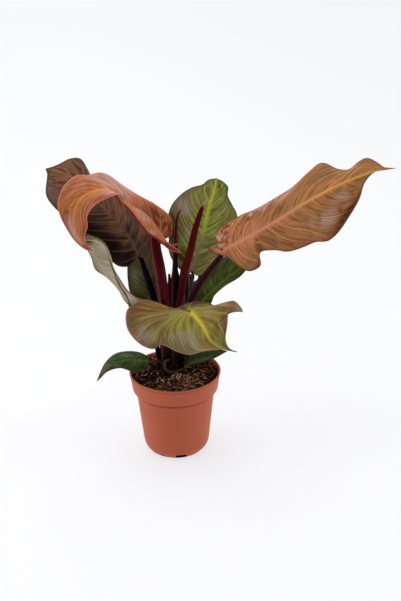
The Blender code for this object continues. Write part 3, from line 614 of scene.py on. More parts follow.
            (52, 110, 40), (65, 115, 30), (80, 120, 20)]),
        "warm": [(31, 70, 12, 50, 100), (47, 98, 10, 14, 90), (64, -85, 14, 35, 100), (52, -90, 6, 40, 90),
            (24, 30, 8, 40, 80), (88, -80, 10, 30, 70)],
        "shade": [(12, -50, 10, 50, 80), (30, -70, 12, 60, 95), (22, 30, 8, 30, 40), (90, -50, 8, 50, 80),
            (75, -40, 12, 30, 55), (42, 80, 6, 40, 40), (97, 0, 6, 120, 100), (86, -80, 8, 40, 90)],
        "paintedSheen": [(82, 75, 12, 25, 80), (50, -75, 10, 30, 50), (50, 85, 7, 20, 75), (68, 50, 12, 35, 80),
            (42, 35, 6, 40, 40), (56, -28, 5, 16, 50), (62, -95, 6, 12, 80), (49, -98, 5, 14, 90),
            (40, 55, 5, 14, 40)],
    },
    "lowLeft": {
        "base": (-31, -20, 137), "tip": (-99, -52, 125), "face": (0.11, -0.56, 0.82), "rows": 80,
        "ribBreadth": 1.5, "quilt": 0.35, "node": "low_left", "veinForce": 0.4, "lines": 0.8, "sweep": 1.1,
        "gloss": 0.06, "rough": 0.32, "bladeSlot": "blade_green", "stalkSlot": "stalk_red",
        "midrib": [(14, -7, 2), (32, -13, 4), (50, -14, 3), (65, -8, 1)],
        "left": [(5, 4, 0), (15, 8, 0), (26, 6, 0), (40, -6, 0), (57, -8, 0), (69, -3, 0)],
        "right": [(0, -5, 0), (4, -14, 0), (16, -23, 0), (36, -28, 0), (53, -22, 0), (68, -9, 0)],
        "stalk": [(-18.5, -3.5, 96, 4.4), (-17, -4, 112, 4.8), (-15.5, -6, 123, 5), (-19, -9, 130.5, 5),
            (-25, -15.5, 134, 4.4), (-29.4, -19.4, 136, 3.2)],
        "veins": lowVeins,
        "warm": [(75, 90, 20, 25, 90), (80, -20, 11, 110, 100), (60, -98, 30, 14, 90)],
        "shade": [(20, 70, 20, 50, 70)],
        "paintedSheen": [(62, 45, 10, 35, 60), (42, -40, 12, 30, 80), (24, -50, 8, 20, 60)],
    },
    "lowRight": {
        "base": (13, -16, 125), "tip": (70, -6, 143), "face": (-0.06, -0.8, 0.6), "rows": 80,
        "ribBreadth": 1.3, "quilt": 0.3, "node": "low_right", "veinForce": 0.4, "lines": 0.8, "sweep": 1.1,
        "gloss": 0.06, "rough": 0.32, "bladeSlot": "blade_green", "stalkSlot": "stalk_green",
        "midrib": [(13, 3, 1), (30, 3, 2), (46, 2, 1)],
        "left": [(2, 8, -3), (14, 13, -4), (31, 13, -3), (47, 8, -1)],
        "right": [(8, 0, -2), (20, -2, -2), (33, -3, -2), (47, -2, -1)],
        "stalk": [(-6.7, -9, 131, 2), (-7.2, -15, 136, 3), (-12, -18.5, 135, 3.8), (-11.3, -22.5, 126, 4.2),
            (-3, -22.5, 121.5, 4), (5, -19.5, 122.5, 3.2), (11.3, -17, 124, 2.6)],
        "veins": lowVeins,
        "warm": [(85, 0, 14, 120, 60)],
        "shade": [(12, 40, 12, 90, 80)],
        "paintedSheen": [(50, -40, 25, 30, 90)],
    },
}

# Colours of each blade's upper face, then of its underside.
# The pale sheen tone is a painted reflection, the crest tone a painted highlight on wrinkle crests, and the
# shade tone painted shade that also stands for darker patches of the leaf's own colour.
skins = {
    "right": {
        "inner": (158, 106, 64), "outer": (156, 104, 66), "vein": (206, 144, 80), "rib": (196, 128, 98),
        "ribTip": (208, 148, 72), "streak": (96, 58, 32), "edge": (140, 80, 52), "rim": (78, 38, 26),
        "moss": (130, 98, 54), "warm": (182, 114, 78), "shade": (76, 38, 20), "crestHighlight": (206, 160, 132),
        "paintedSheen": (180, 146, 136), "under": (150, 88, 54), "underVein": (176, 110, 72),
        "underRib": (160, 84, 60),
    },
    "leftFront": {
        "inner": (186, 108, 66), "outer": (172, 98, 62), "vein": (222, 150, 98), "rib": (226, 144, 78),
        "ribTip": (226, 184, 164), "streak": (124, 58, 34), "edge": (178, 92, 62), "rim": (196, 118, 90),
        "moss": (172, 88, 46), "warm": (176, 104, 62), "shade": (94, 42, 22), "crestHighlight": (150, 86, 52),
        "paintedSheen": (198, 166, 160), "under": (200, 122, 76), "underVein": (216, 142, 98),
        "underRib": (128, 22, 20),
    },
    "leftBack": {
        "inner": (82, 62, 50), "outer": (68, 46, 38), "vein": (130, 100, 76), "rib": (108, 78, 58),
        "ribTip": (160, 114, 76), "streak": (26, 14, 10), "edge": (66, 38, 30), "rim": (60, 38, 32),
        "moss": (60, 60, 54), "warm": (140, 98, 70), "shade": (24, 9, 4), "paintedSheen": (126, 98, 92),
        "under": (84, 50, 44), "underVein": (104, 66, 56), "underRib": (80, 20, 30),
    },
    "back": {
        "inner": (135, 140, 63), "outer": (120, 120, 58), "vein": (186, 190, 104), "rib": (132, 116, 78),
        "ribTip": (178, 188, 54), "streak": (70, 80, 30), "edge": (90, 76, 46), "rim": (50, 38, 24),
        "moss": (98, 124, 44), "warm": (122, 98, 70), "shade": (56, 42, 14), "paintedSheen": (154, 138, 128),
        "under": (118, 118, 84), "underVein": (146, 142, 104), "underRib": (110, 60, 56),
    },
    "backRight": {
        "inner": (66, 80, 22), "outer": (60, 66, 20), "vein": (104, 118, 52), "rib": (98, 110, 48),
        "ribTip": (94, 104, 48), "streak": (34, 42, 8), "edge": (46, 38, 14), "rim": (24, 16, 6),
        "moss": (50, 82, 18), "warm": (84, 66, 34), "shade": (34, 32, 6), "paintedSheen": (98, 102, 70),
        "under": (96, 104, 74), "underVein": (120, 126, 92), "underRib": (104, 56, 52),
    },
    "backLeft": {
        "inner": (66, 72, 26), "outer": (60, 62, 20), "vein": (104, 110, 60), "rib": (98, 102, 54),
        "ribTip": (90, 96, 48), "streak": (30, 34, 6), "edge": (38, 34, 10), "rim": (20, 16, 4),
        "moss": (54, 76, 20), "warm": (96, 80, 54), "shade": (28, 24, 2), "paintedSheen": (106, 102, 80),
        "under": (96, 104, 74), "underVein": (120, 126, 92), "underRib": (104, 56, 52),
    },
    "leftPale": {
        "inner": (92, 98, 50), "outer": (88, 88, 46), "vein": (122, 126, 70), "rib": (120, 120, 70),
        "ribTip": (112, 112, 64), "streak": (116, 102, 76), "edge": (100, 84, 54), "rim": (84, 72, 46),
        "moss": (84, 104, 44), "warm": (96, 88, 46), "shade": (70, 52, 32), "paintedSheen": (206, 190, 178),
        "under": (160, 148, 122), "underVein": (188, 178, 154), "underRib": (96, 70, 56),
    },
    "front": {
        "inner": (138, 124, 62), "outer": (122, 102, 68), "vein": (180, 166, 70), "rib": (206, 194, 64),
        "ribTip": (160, 152, 72), "streak": (88, 72, 38), "edge": (134, 92, 70), "rim": (166, 118, 98),
        "moss": (120, 126, 70), "warm": (122, 82, 52), "shade": (82, 58, 46), "paintedSheen": (154, 138, 122),
        "under": (120, 86, 70), "underVein": (142, 106, 86), "underRib": (110, 54, 50),
    },
    "lowLeft": {
        "inner": (48, 72, 28), "outer": (48, 62, 26), "vein": (86, 106, 60), "rib": (82, 102, 56),
        "ribTip": (90, 92, 58), "streak": (24, 38, 10), "edge": (76, 58, 36), "rim": (52, 36, 24),
        "moss": (38, 76, 22), "warm": (114, 88, 66), "shade": (26, 36, 8), "paintedSheen": (94, 106, 84),
        "under": (100, 106, 80), "underVein": (122, 126, 94), "underRib": (110, 60, 54),
    },
    "lowRight": {
        "inner": (56, 72, 30), "outer": (52, 62, 26), "vein": (86, 102, 60), "rib": (80, 94, 56),
        "ribTip": (72, 78, 48), "streak": (24, 32, 8), "edge": (48, 44, 26), "rim": (42, 38, 24),
        "moss": (36, 62, 20), "warm": (76, 72, 48), "shade": (22, 24, 4), "paintedSheen": (90, 94, 74),
        "under": (96, 104, 78), "underVein": (118, 124, 92), "underRib": (110, 60, 54),
    },
}

blade = {
    "columns": 16,
    "thick": 0.5,
    "underRidge": 1.6,
    "lateralRidge": 0.35,
    "channel": 0.8,
    "shine": 0.06,
    "blush": (146, 50, 38), "blushUnder": (160, 60, 48),
}


def leafFrame(leaf):  # the blade's base, length and axes
    base = np.array(leaf["base"], float)
    chord = np.array(leaf["tip"], float) - base
    along = unit(chord)
    face = np.array(leaf["face"], float)
    rise = unit(face - face.dot(along) * along)
    return base, np.linalg.norm(chord), np.array([along, np.cross(rise, along), rise])


def lobeShare(margins, length):  # how much of a margin lies round the lobes
    shares = []
    for margin in margins:
        behind = np.nonzero(margin[:, 0] < 0.06 * length)[0]
        shares.append(0.85 * behind[-1] / len(margin))
    return sum(shares) / len(shares)


def halfBlade(midrib, margin, fan, sign):  # ribs fan round the lobe, then sweep to the tip
    samples = len(midrib)
    q = np.linspace(0, 1, len(margin))
    at = (samples - 1) * np.clip((q - fan) / (1 - fan), 0, 1) ** 1.15
    heading = unit(np.gradient(midrib, axis=0))
    root = np.stack([np.interp(at, range(samples), column) for column in midrib.T], axis=1)
    ahead = np.stack([np.interp(at, range(samples), column) for column in heading.T], axis=1)
    rib = margin - root
    reach = np.linalg.norm(rib, axis=1, keepdims=True)
    up = sign * np.cross(ahead, rib)
    up = unit(np.where(up[:, 2:] < 0, -up, up) + np.array([0, 0, 1e-3]))
    for _ in range(round(3 * (len(margin) / 28) ** 2)):
        up[1:-1] = unit(up[:-2] + 2 * up[1:-1] + up[2:])
    back = 0.12 * reach * ahead * np.sin(np.pi * q)[:, None]
    return root, (root + margin) / 2 - back + 0.1 * reach * up, margin, at / (samples - 1)


def veinPhases(rows, reach, veins, power):  # whole numbers on the laterals, and how strong each is
    starts, ends, force = (np.array(column, float) / 100 for column in zip(*veins))
    before = np.arange(6, 0, -1) * 0.1
    after = np.arange(1, 7) * 0.12
    starts = np.concatenate([starts[0] - before, starts, starts[-1] + after])
    ends = np.concatenate([ends[0] - before, ends, ends[-1] + after])
    numbers = np.arange(len(starts)) - 5.0
    force = np.concatenate([0 * before, force, 0 * after])
    lines = [(1 - g) * starts + g * ends for g in reach**power]
    phase = np.stack([np.interp(rows, line, numbers) for line in lines], axis=1)
    return phase, np.interp(phase, numbers, force)


def phaseSpan(grid, phase):  # millimetres from one lateral to the next
    down, across = np.gradient(grid, axis=0), np.gradient(grid, axis=1)
    phaseDown, phaseAcross = np.gradient(phase, axis=0), np.gradient(phase, axis=1)
    tall, wide, skew = (np.sum(u * v, axis=2) for u, v in ((down, down), (across, across), (down, across)))
    slope = phaseDown**2 * wide - 2 * phaseDown * phaseAcross * skew + phaseAcross**2 * tall
    slope = slope / np.maximum(tall * wide - skew**2, 1e-3)
    return 1 / np.sqrt(np.maximum(slope, 1e-4))


def oval(row, signed, centre, offset, long, wide):  # 1 in the middle of a soft oval, 0 well outside it
    return np.exp(-((100 * row - centre) / long) ** 2 - ((100 * signed - offset) / wide) ** 2)


def spots(marks, row, signed):  # the strongest of the ovals at each point
    total = np.zeros(row.shape)
    for *place, strength in marks:
        total = np.maximum(total, strength / 100 * oval(row, signed, *place))
    return total


def bladeGrid(leaf):  # points of the middle sheet, and what the skin needs at each
    base, length, axes = leafFrame(leaf)
    rows, columns = leaf["rows"], blade["columns"]
    midrib = smoothCurve([(0, 0, 0), *leaf["midrib"], (length, 0, 0)], 400)
    margins = [smoothCurve([(0, 0, 0), *leaf[side], (length, 0, 0)], rows + 1)
               for side in ("left", "right")]
    fan = lobeShare([m[::max(1, rows // 28)] for m in margins], length)
    t = np.linspace(0, 1, columns + 1) ** 1.4
    way = np.linspace(0, 1, rows + 1)
    halves = []
    for margin, sign, veins in zip(margins, (1, -1), leaf["veins"]):
        root, bend, edge, at = halfBlade(midrib, margin, fan, sign)
        a, b, c = root[:, None], bend[:, None], edge[:, None]
        s = t[None, :, None]
        grid = (1 - s) ** 2 * a + 2 * s * (1 - s) * b + s**2 * c
        phase, force = veinPhases(way, t, veins, leaf["sweep"])
        steps = np.linalg.norm(np.diff(grid, axis=1), axis=2)
        inward = np.concatenate([np.cumsum(steps[:, ::-1], axis=1)[:, ::-1], 0 * steps[:, :1]], axis=1)
        whole = [np.broadcast_to(v, phase.shape) for v in (t, at[:, None], way[:, None], sign)]
        dist = np.linalg.norm(grid - a, axis=2)
        halves.append((grid, phase, phaseSpan(grid, phase), force, *whole, dist, inward))
    joined = [np.concatenate([l[:, ::-1], r[:, 1:]], axis=1) for l, r in zip(*halves)]
    grid = base + joined[0] @ axes
    row, signed = joined[6], joined[4] * joined[7]
    for *place, shift in leaf.get("pushes", []):
        grid = grid + oval(row, signed, *place)[..., None] * np.array(shift, float)
    return grid, joined[1:], axes


def gridNormals(grid):  # unit normals, shared by points that lie together
    across = grid[1:, 1:] - grid[:-1, :-1]
    other = grid[1:, :-1] - grid[:-1, 1:]
    cell = np.cross(across, other)
    total = np.zeros_like(grid)
    for r, c in ((0, 0), (0, 1), (1, 0), (1, 1)):
        total[r:r + cell.shape[0], c:c + cell.shape[1]] += cell
    flat, points = total.reshape(-1, 3), np.round(grid.reshape(-1, 3), 3)
    _, where = np.unique(points, axis=0, return_inverse=True)
    where = where.reshape(-1)
    merged = np.zeros((where.max() + 1, 3))
    np.add.at(merged, where, flat)
    return unit(merged[where]).reshape(grid.shape)


def gridFaces(rows, columns, offset=0, flip=False):
    across = columns + 1
    faces = []
    for r in range(rows):
        for c in range(columns):
            a = offset + r * across + c
            face = (a, a + 1, a + across + 1, a + across)
            faces.append(face[::-1] if flip else face)
    return faces


def addBlade(name, leaf, seed):
    grid, (phase, span, force, reach, share, row, side, dist, inward), axes = bladeGrid(leaf)
    signed = reach * side
    normal = gridNormals(grid)
    if np.sum(normal @ axes[2]) < 0:
        normal = -normal
    turned = leaf.get("turned", False)
    breadth = leaf["ribBreadth"] * (1 - leaf.get("ribTaper", 0.75) * share)
    breadth = breadth * (1 + leaf.get("ribFoot", 0) * np.exp(-(share / 0.09) ** 2))
    inward = inward + 4 * np.exp(-(row / 0.03) ** 2)  # no rim where the margins meet at the stalk
    ridge = np.exp(-(dist / np.maximum(breadth * 0.6, 0.3)) ** 2) * (1 - 0.85 * share)
    if "ribStart" in leaf:  # the ridge comes up only beyond the base
        ridge = ridge * ease(0, leaf["ribStart"], share)
    near = np.abs(phase - np.round(phase)) * span
    lateral = np.exp(-(near / 0.9) ** 2) * ease(1.0, 3.5, span) * (1 - ease(0.55, 0.95, reach))
    quilt = np.sin(np.pi * np.abs(phase - np.floor(phase))) ** 0.7 * ease(3, 9, span)
    quilt = quilt * ease(0, 0.2, reach) * (1 - 0.75 * ease(0.5, 1.0, reach))
    flat = grid.reshape(-1, 3)
    soft = field(flat, 9.0, seed).reshape(dist.shape) * ease(0.03, 0.3, reach)
    channel = -blade["channel"] * np.exp(-(dist / 4.0) ** 2) * (1 - 0.7 * share)
    relief = leaf["quilt"] * (quilt + 0.6 * soft) * ease(0, 3, inward)
    pucker = np.zeros(dist.shape)
    for *place, height, size in leaf.get("wrinkles", []):
        ripple = oval(row, signed, *place) * field(flat, size, seed + 3, 3).reshape(dist.shape)
        relief = relief + height * ripple * ease(0, 4, dist)
        pucker = pucker + ripple * min(1.0, height / 2)
    relief = (-relief if turned else relief) + (-channel if turned else channel)
    under = blade["underRidge"] * ridge + blade["lateralRidge"] * lateral
    thick = blade["thick"] * (1 - 0.55 * ease(0.9, 1.0, reach)) / 2
    if "ribStart" in leaf:  # and the sheet is thin there, where its rows meet
        thick = thick * (0.05 + 0.95 * ease(0, 3, dist + 60 * share))
    sheet = grid + normal * relief[..., None]
    upper = sheet + normal * (thick + (under if turned else 0))[..., None]
    lower = sheet - normal * (thick + (0 if turned else under))[..., None]
    rows, columns = grid.shape[0] - 1, grid.shape[1] - 1
    count = (rows + 1) * (columns + 1)
    faces = gridFaces(rows, columns) + gridFaces(rows, columns, count, True)
    for r in range(rows):
        for c in (0, columns):
            a, b = r * (columns + 1) + c, (r + 1) * (columns + 1) + c
            faces.append((a, b, b + count, a + count) if c == 0 else (b, a, a + count, b + count))
    way = np.stack([phase, np.minimum(span, 60), reach], axis=2).reshape(-1, 3)
    ribs = np.stack([dist, breadth, inward], axis=2).reshape(-1, 3)
    warm, shade, paintedSheen, blush = (spots(leaf.get(kind, []), row, signed)
                                 for kind in ("warm", "shade", "paintedSheen", "blush"))
    tints = np.stack([warm, shade, paintedSheen], axis=2).reshape(-1, 3)
    isUnder = np.zeros(count) + (1.0 if turned else 0.0)
    sides = [np.stack([share.reshape(-1), u, force.reshape(-1)], axis=1) for u in (isUnder, 1 - isUnder)]
    attributes = {"veinWay": np.concatenate([way, way]), "bladeSpot": np.concatenate(sides),
                  "ribSpot": np.concatenate([ribs, ribs]), "tint": np.concatenate([tints, tints])}
    if "blush" in leaf:
        attributes["blush"] = np.tile(blush.reshape(-1), 2)
    if "wrinkles" in leaf:
        attributes["pucker"] = np.tile(pucker.reshape(-1), 2)
    points = np.concatenate([upper.reshape(-1, 3), lower.reshape(-1, 3)])
    obj = addMesh(f"{name}Blade", points, faces, bladePaint(name, leaf, seed), attributes, weld=0.01)
    belongs(obj, leaf["bladeSlot"], f"{leaf['node']}_blade")


def bladePaint(name, leaf, seed):
    skin = {key: tone(*value) for key, value in skins[name].items()}
    paint = Paint(f"{name}Skin", {"Specular IOR Level": blade["shine"], "Coat Roughness": 0.22})
    phase, span, reach = paint.parts("veinWay")
    share, under, force = paint.parts("bladeSpot")
    dist, breadth, inward = paint.parts("ribSpot")
    warm, shade, paintedSheen = paint.parts("tint")
    place = paint.place()
    fade = 1 - paint.slope(reach, 0.6, 1.0)
    width = 0.5 * leaf.get("veinBreadth", 1.0) * (1.3 - 0.7 * reach)
    off = paint.math("ABSOLUTE", paint.math("FRACT", phase + 0.5) - 0.5) * span
    line = (1 - paint.slope(off / width, 0.3, 1.5)) * force * fade
    halo = (1 - paint.slope(off / width, 0.6, 5.0)) * force * fade
    rib = 1 - paint.slope(dist / breadth, 0.2, 0.68)
    glow = 1 - paint.slope(dist / breadth, 0.35, 1.9)
    grain = leaf.get("grain", 6)  # fine stripes from one lateral to the next
    hair = paint.noise(paint.vector(phase * grain, reach * 2.2, seed), 1.0, 2, 0.6)
    band = paint.noise(paint.vector(phase * (grain * 0.4), reach * 1.4, seed + 20), 1.0, 1, 0.5)
    broad = paint.noise(paint.vector(phase * 1.3, reach * 1.8, seed + 40), 1.0, 2, 0.5)
    cast = paint.noise(place, 38 + seed, 3, 0.6)
    blotch = paint.noise(place, 90 + seed, 3, 0.6)
    speck = paint.noise(place, 420, 2)
    lines = leaf.get("lines", 1.0)
    drift = leaf.get("drift", 0.5)
    ribTone = paint.mix(paint.slope(share, *leaf.get("ribTurn", (0.3, 0.9))), skin["rib"], skin["ribTip"])
    body = paint.mix(paint.slope(reach, 0.15, 0.95), skin["inner"], skin["outer"])
    body = paint.mix(paint.slope(cast, 0.48, 0.64) * drift, body, skin["moss"])
    body = paint.mix(paint.slope(cast, 0.5, 0.36) * drift, body, skin["warm"])
    body = paint.mix(paint.slope(warm * (0.6 + 0.8 * blotch), 0.1, 0.8), body, skin["warm"])
    body = paint.mix(paint.slope(blotch, 0.5, 0.68) * 0.25, body, skin["streak"])
    body = paint.mix(paint.slope(broad, 0.48, 0.64) * (0.2 * lines), body, skin["streak"])
    body = paint.mix(paint.slope(band, 0.5, 0.64) * (0.4 * lines), body, skin["streak"])
    body = paint.mix(paint.slope(hair, 0.5, 0.64) * (0.7 * lines), body, skin["streak"])
    body = paint.mix(paint.slope(hair, 0.47, 0.34) * (0.4 * lines) * (0.4 + 0.6 * fade), body, skin["vein"])
    # painted shade in folds and hollows, which also darkens some patches of the leaf's own colour
    body = paint.mix(paint.slope(shade * (0.8 + 0.4 * broad), 0.1, 0.9), body, skin["shade"])
    body = paint.mix(halo * 0.22, body, skin["vein"])
    # painted sheen: a pale reflection tone on the sheen ovals, streaked along the fine veins
    sheen = paint.slope(paintedSheen * (0.5 + 0.9 * blotch), 0.1, 0.95)
    sheen = sheen * (0.45 + 0.55 * paint.slope(hair, 0.58, 0.42))
    body = paint.mix(sheen, body, skin["paintedSheen"])
    if "wrinkles" in leaf:
        # painted highlight on the wrinkle crests and painted shade in their troughs, following the relief
        pucker = paint.number("pucker")
        hollowShade = paint.slope(pucker, -0.04, -0.26)
        body = paint.mix(paint.slope(pucker, 0.04, 0.3) * 0.7, body, skin["crestHighlight"])
        body = paint.mix(hollowShade * 0.65, body, skin["shade"])
    body = paint.mix(glow * leaf.get("ribGlow", 0.3), body, ribTone)
    body = paint.mix(line * leaf.get("veinForce", 0.75), body, skin["vein"])
    body = paint.mix(rib * 0.92, body, ribTone)
    body = paint.mix(0.5 - paint.slope(inward, 0, 5) * 0.5, body, skin["edge"])
    body = paint.mix(1 - paint.slope(inward, 0.5, 1.6), body, skin["rim"])
    below = paint.mix(paint.slope(band, 0.38, 0.62) * 0.6, skin["under"], skin["underVein"])
    below = paint.mix(paint.slope(hair, 0.5, 0.64) * 0.4, below, skin["streak"])
    below = paint.mix(paint.slope(warm, 0.1, 0.8), below, skin["warm"])
    # painted shade and darker patches of the leaf's own colour, on the underside
    below = paint.mix(paint.slope(shade, 0.1, 0.9), below, skin["shade"])
    # painted sheen on the underside too
    below = paint.mix(sheen, below, skin["paintedSheen"])
    if "wrinkles" in leaf:
        # painted shade in the wrinkle troughs on the underside
        below = paint.mix(hollowShade * 0.5, below, skin["shade"])
    if "blush" in leaf:
        blush = paint.slope(paint.number("blush"), 0.1, 0.8) * 0.8
        body = paint.mix(blush, body, tone(*blade["blush"]))
        below = paint.mix(blush, below, tone(*blade["blushUnder"]))
    below = paint.mix(line * 0.5, below, skin["underVein"])
    below = paint.mix(1 - paint.slope(inward, 0.3, 1.3), below, skin["rim"])
    ribBelow = paint.mix(paint.slope(share, 0.5, 0.8), skin["underRib"], skin["underVein"])
    below = paint.mix(rib, below, ribBelow)
    colour = paint.mix(under, body, below)
    rough = leaf.get("rough", 0.44) + 0.14 * hair + 0.12 * under - 0.1 * paintedSheen
    height = speck * 0.2 + hair * 0.4 + band * 0.8 - line * 0.5
    return paint.finish(Base_Color=colour, Roughness=rough,
                        Coat_Weight=leaf.get("gloss", 0.03) * (1 - under * 0.8),
                        Normal=paint.bump(height, 0.5, 0.0008))


# Body, lit side and dark streaks, then the painted highlight strip: where round the stem, how wide, how
# strong.
stems = {
    "right": [(44, 7, 12), (88, 42, 50), (22, 2, 5), (0.38, 0.05, 0.6)],
    "leftFront": [(66, 0, 9), (114, 52, 56), (38, 0, 4), (0.36, 0.04, 0.9)],
    "leftBack": [(6, 0, 1), (26, 15, 18), (3, 0, 1), (0.36, 0.04, 0.4)],
    "back": [(22, 10, 10), (108, 94, 92), (8, 3, 3), (0.27, 0.025, 1.0)],
    "backRight": [(46, 34, 16), (74, 62, 34), (24, 16, 8), (0.36, 0.05, 0.4)],
    "backLeft": [(50, 44, 22), (80, 74, 42), (30, 26, 12), (0.36, 0.05, 0.4)],
    "leftPale": [(24, 12, 12), (56, 40, 40), (12, 4, 5), (0.36, 0.05, 0.6)],
    "front": [(50, 12, 16), (92, 50, 52), (22, 4, 6), (0.34, 0.05, 0.6)],
    "lowLeft": [(86, 30, 24), (124, 64, 54), (46, 14, 12), (0.2, 0.08, 0.5)],
    "lowRight": [(46, 46, 18), (88, 84, 44), (24, 22, 8), (0.2, 0.08, 0.5)],
    "rolledTall": [(76, 0, 7), (102, 12, 24), (44, 0, 3), (0.42, 0.05, 0.4)],
    "rolledThin": [(80, 3, 11), (108, 28, 34), (34, 1, 5), (0.36, 0.05, 0.4)],
    "oldSheath": [(50, 14, 12), (84, 42, 34), (24, 6, 5), (0.3, 0.06, 0.4)],
    "witheredSheath": [(60, 40, 32), (140, 120, 108), (22, 10, 8), (0.26, 0.03, 0.8)],
    "crown": [(40, 16, 12), (72, 40, 30), (22, 9, 7), (0.3, 0.08, 0.3)],
}

stalk = {
    "sides": 28, "ringsPerPoint": 14, "flatness": 0.78, "groove": 0.12, "grooveWidth": 0.5,
    "seamAt": 0.62, "seamTwist": 0.0006,
    # painted shade low on the stems: its tone, then the heights where it is full and where it fades out
    "baseShade": (16, 7, 6), "baseShadeFrom": 0.135, "baseShadeTo": 0.19,
    "belowRingFront": (10, 1, 3), "belowRingSide": (56, 4, 12), "nodeRing": (164, 134, 126), "paleTip": (196, 148, 136),
}


def stemPaint(name, seed, collar=None, paleTip=False):
    body, lit, streak = (tone(*value) for value in stems[name][:3])
    middle, half, force = stems[name][3]
    paint = Paint(f"{name}StemSkin",
                  {"Specular IOR Level": 0.04, "Coat Weight": 0.03, "Coat Roughness": 0.14})
    run, turn, share = paint.parts("stemWay")
    lengthways = paint.noise(paint.vector(turn * 16, run * 0.012, seed), 1.0, 3, 0.6)
    patch = paint.noise(paint.vector(turn * 3, run * 0.05, seed + 5), 1.0, 2)
    ridge = 1 - paint.slope(paint.math("ABSOLUTE", lengthways - 0.5), 0.0, 0.03)
    aside = paint.math("ABSOLUTE", turn - middle + patch * 0.03 - 0.015)
    highlightStrip = 1 - paint.slope(aside, half * 0.4, half * 1.3)
    colour = paint.mix(paint.slope(lengthways, 0.48, 0.66) * 0.7, body, streak)
    colour = paint.mix(paint.slope(patch, 0.6, 0.8) * 0.25, colour, lit)
    colour = paint.mix(ridge * 0.25, colour, lit)
    if collar:  # dark below the node's pale ring, except at the left
        belowRing = paint.mix(paint.slope(turn, 0.3, 0.36), tone(*stalk["belowRingFront"]), tone(*stalk["belowRingSide"]))
        colour = paint.mix(paint.slope(share, collar, collar + 0.01), belowRing, colour)
        pale = 1 - paint.slope(paint.math("ABSOLUTE", share - collar), 0.003, 0.008)
        colour = paint.mix(pale * 0.7, colour, tone(*stalk["nodeRing"]))
    # painted highlight: a strip of the lit tone down one side of the stem
    colour = paint.mix(highlightStrip * (0.6 + 0.5 * patch) * force, colour, lit)
    if paleTip:
        colour = paint.mix(paint.slope(share, 0.955, 0.985) * 0.8, colour, tone(*stalk["paleTip"]))
    if name not in ("lowLeft", "lowRight"):  # painted shade low down near the soil
        height = paint.node("ShaderNodeSeparateXYZ", None, {0: paint.place()}, 2)
        low = paint.slope(height, stalk["baseShadeTo"], stalk["baseShadeFrom"])
        colour = paint.mix(low * 0.75, colour, tone(*stalk["baseShade"]))
    return paint.finish(Base_Color=colour, Roughness=0.34 + 0.2 * lengthways,
                        Normal=paint.bump(lengthways, 0.3, 0.0006))


def addStem(name, path, slot, node, seed, flatness=stalk["flatness"], seam=0.0, collar=None, paleTip=False):
    sides = stalk["sides"]
    route = smoothCurve(path, stalk["ringsPerPoint"] * (len(path) - 1) + 1)
    line, breadth = route[:, :3], route[:, 3]
    heading = unit(np.gradient(line, axis=0))
    broad = unit(np.cross(heading, [0.0, -1.0, 0.0]))
    deep = np.cross(broad, heading)
    turns = np.linspace(0, 2 * math.pi, sides, endpoint=False)
    run = np.concatenate([[0], np.cumsum(np.linalg.norm(np.diff(line, axis=0), axis=1))])
    points, way = [], []
    for k, (spot, width) in enumerate(zip(line, breadth)):
        for turn in turns:
            size = width / 2
            if seam:  # the free edge of the rolled sheet stands out as a low step
                size *= 1 - seam * ((turn / (2 * math.pi) + stalk["seamAt"] + run[k] * stalk["seamTwist"]) % 1)
            else:  # a shallow channel along the back
                size *= 1 - stalk["groove"] * math.exp(-((turn - 1.5 * math.pi) / stalk["grooveWidth"]) ** 2)
            offset = math.cos(turn) * broad[k] + flatness * math.sin(turn) * deep[k]
            points.append(spot + offset * size)
            way.append((run[k], turn / (2 * math.pi), run[k] / run[-1]))
    faces = [tuple(range(sides))[::-1], tuple(range(len(points) - sides, len(points)))]
    for ring in range(len(line) - 1):
        for k in range(sides):
            low, high, following = ring * sides, (ring + 1) * sides, (k + 1) % sides
            faces.append((low + k, low + following, high + following, high + k))
    obj = addMesh(f"{name}Stem", points, faces, stemPaint(name, seed, collar, paleTip),
                  {"stemWay": np.array(way)}, weld=0.005)
    return belongs(obj, slot, node) if node else belongs(obj, slot)


def toBlade(leaf):  # the stalk runs on into the ridge under the blade
    base, _, axes = leafFrame(leaf)
    sign = 1 if leaf.get("turned") else -1
    breadth = leaf["stalk"][-1][3]
    last = [base + axes[0] * ahead + sign * axes[2] * away
            for ahead, away in leaf.get("join", ((0, 2.2), (9, 1.3)))]
    return leaf["stalk"] + [(*spot, breadth * size) for spot, size in zip(last, (0.55, 0.3))]


for seed, (leafName, leaf) in enumerate(leaves.items()):
    addBlade(leafName, leaf, seed + 1)
    addStem(leafName, toBlade(leaf), leaf["stalkSlot"], f"{leaf['node']}_stalk", seed + 1)
print("stage 4: leaves")

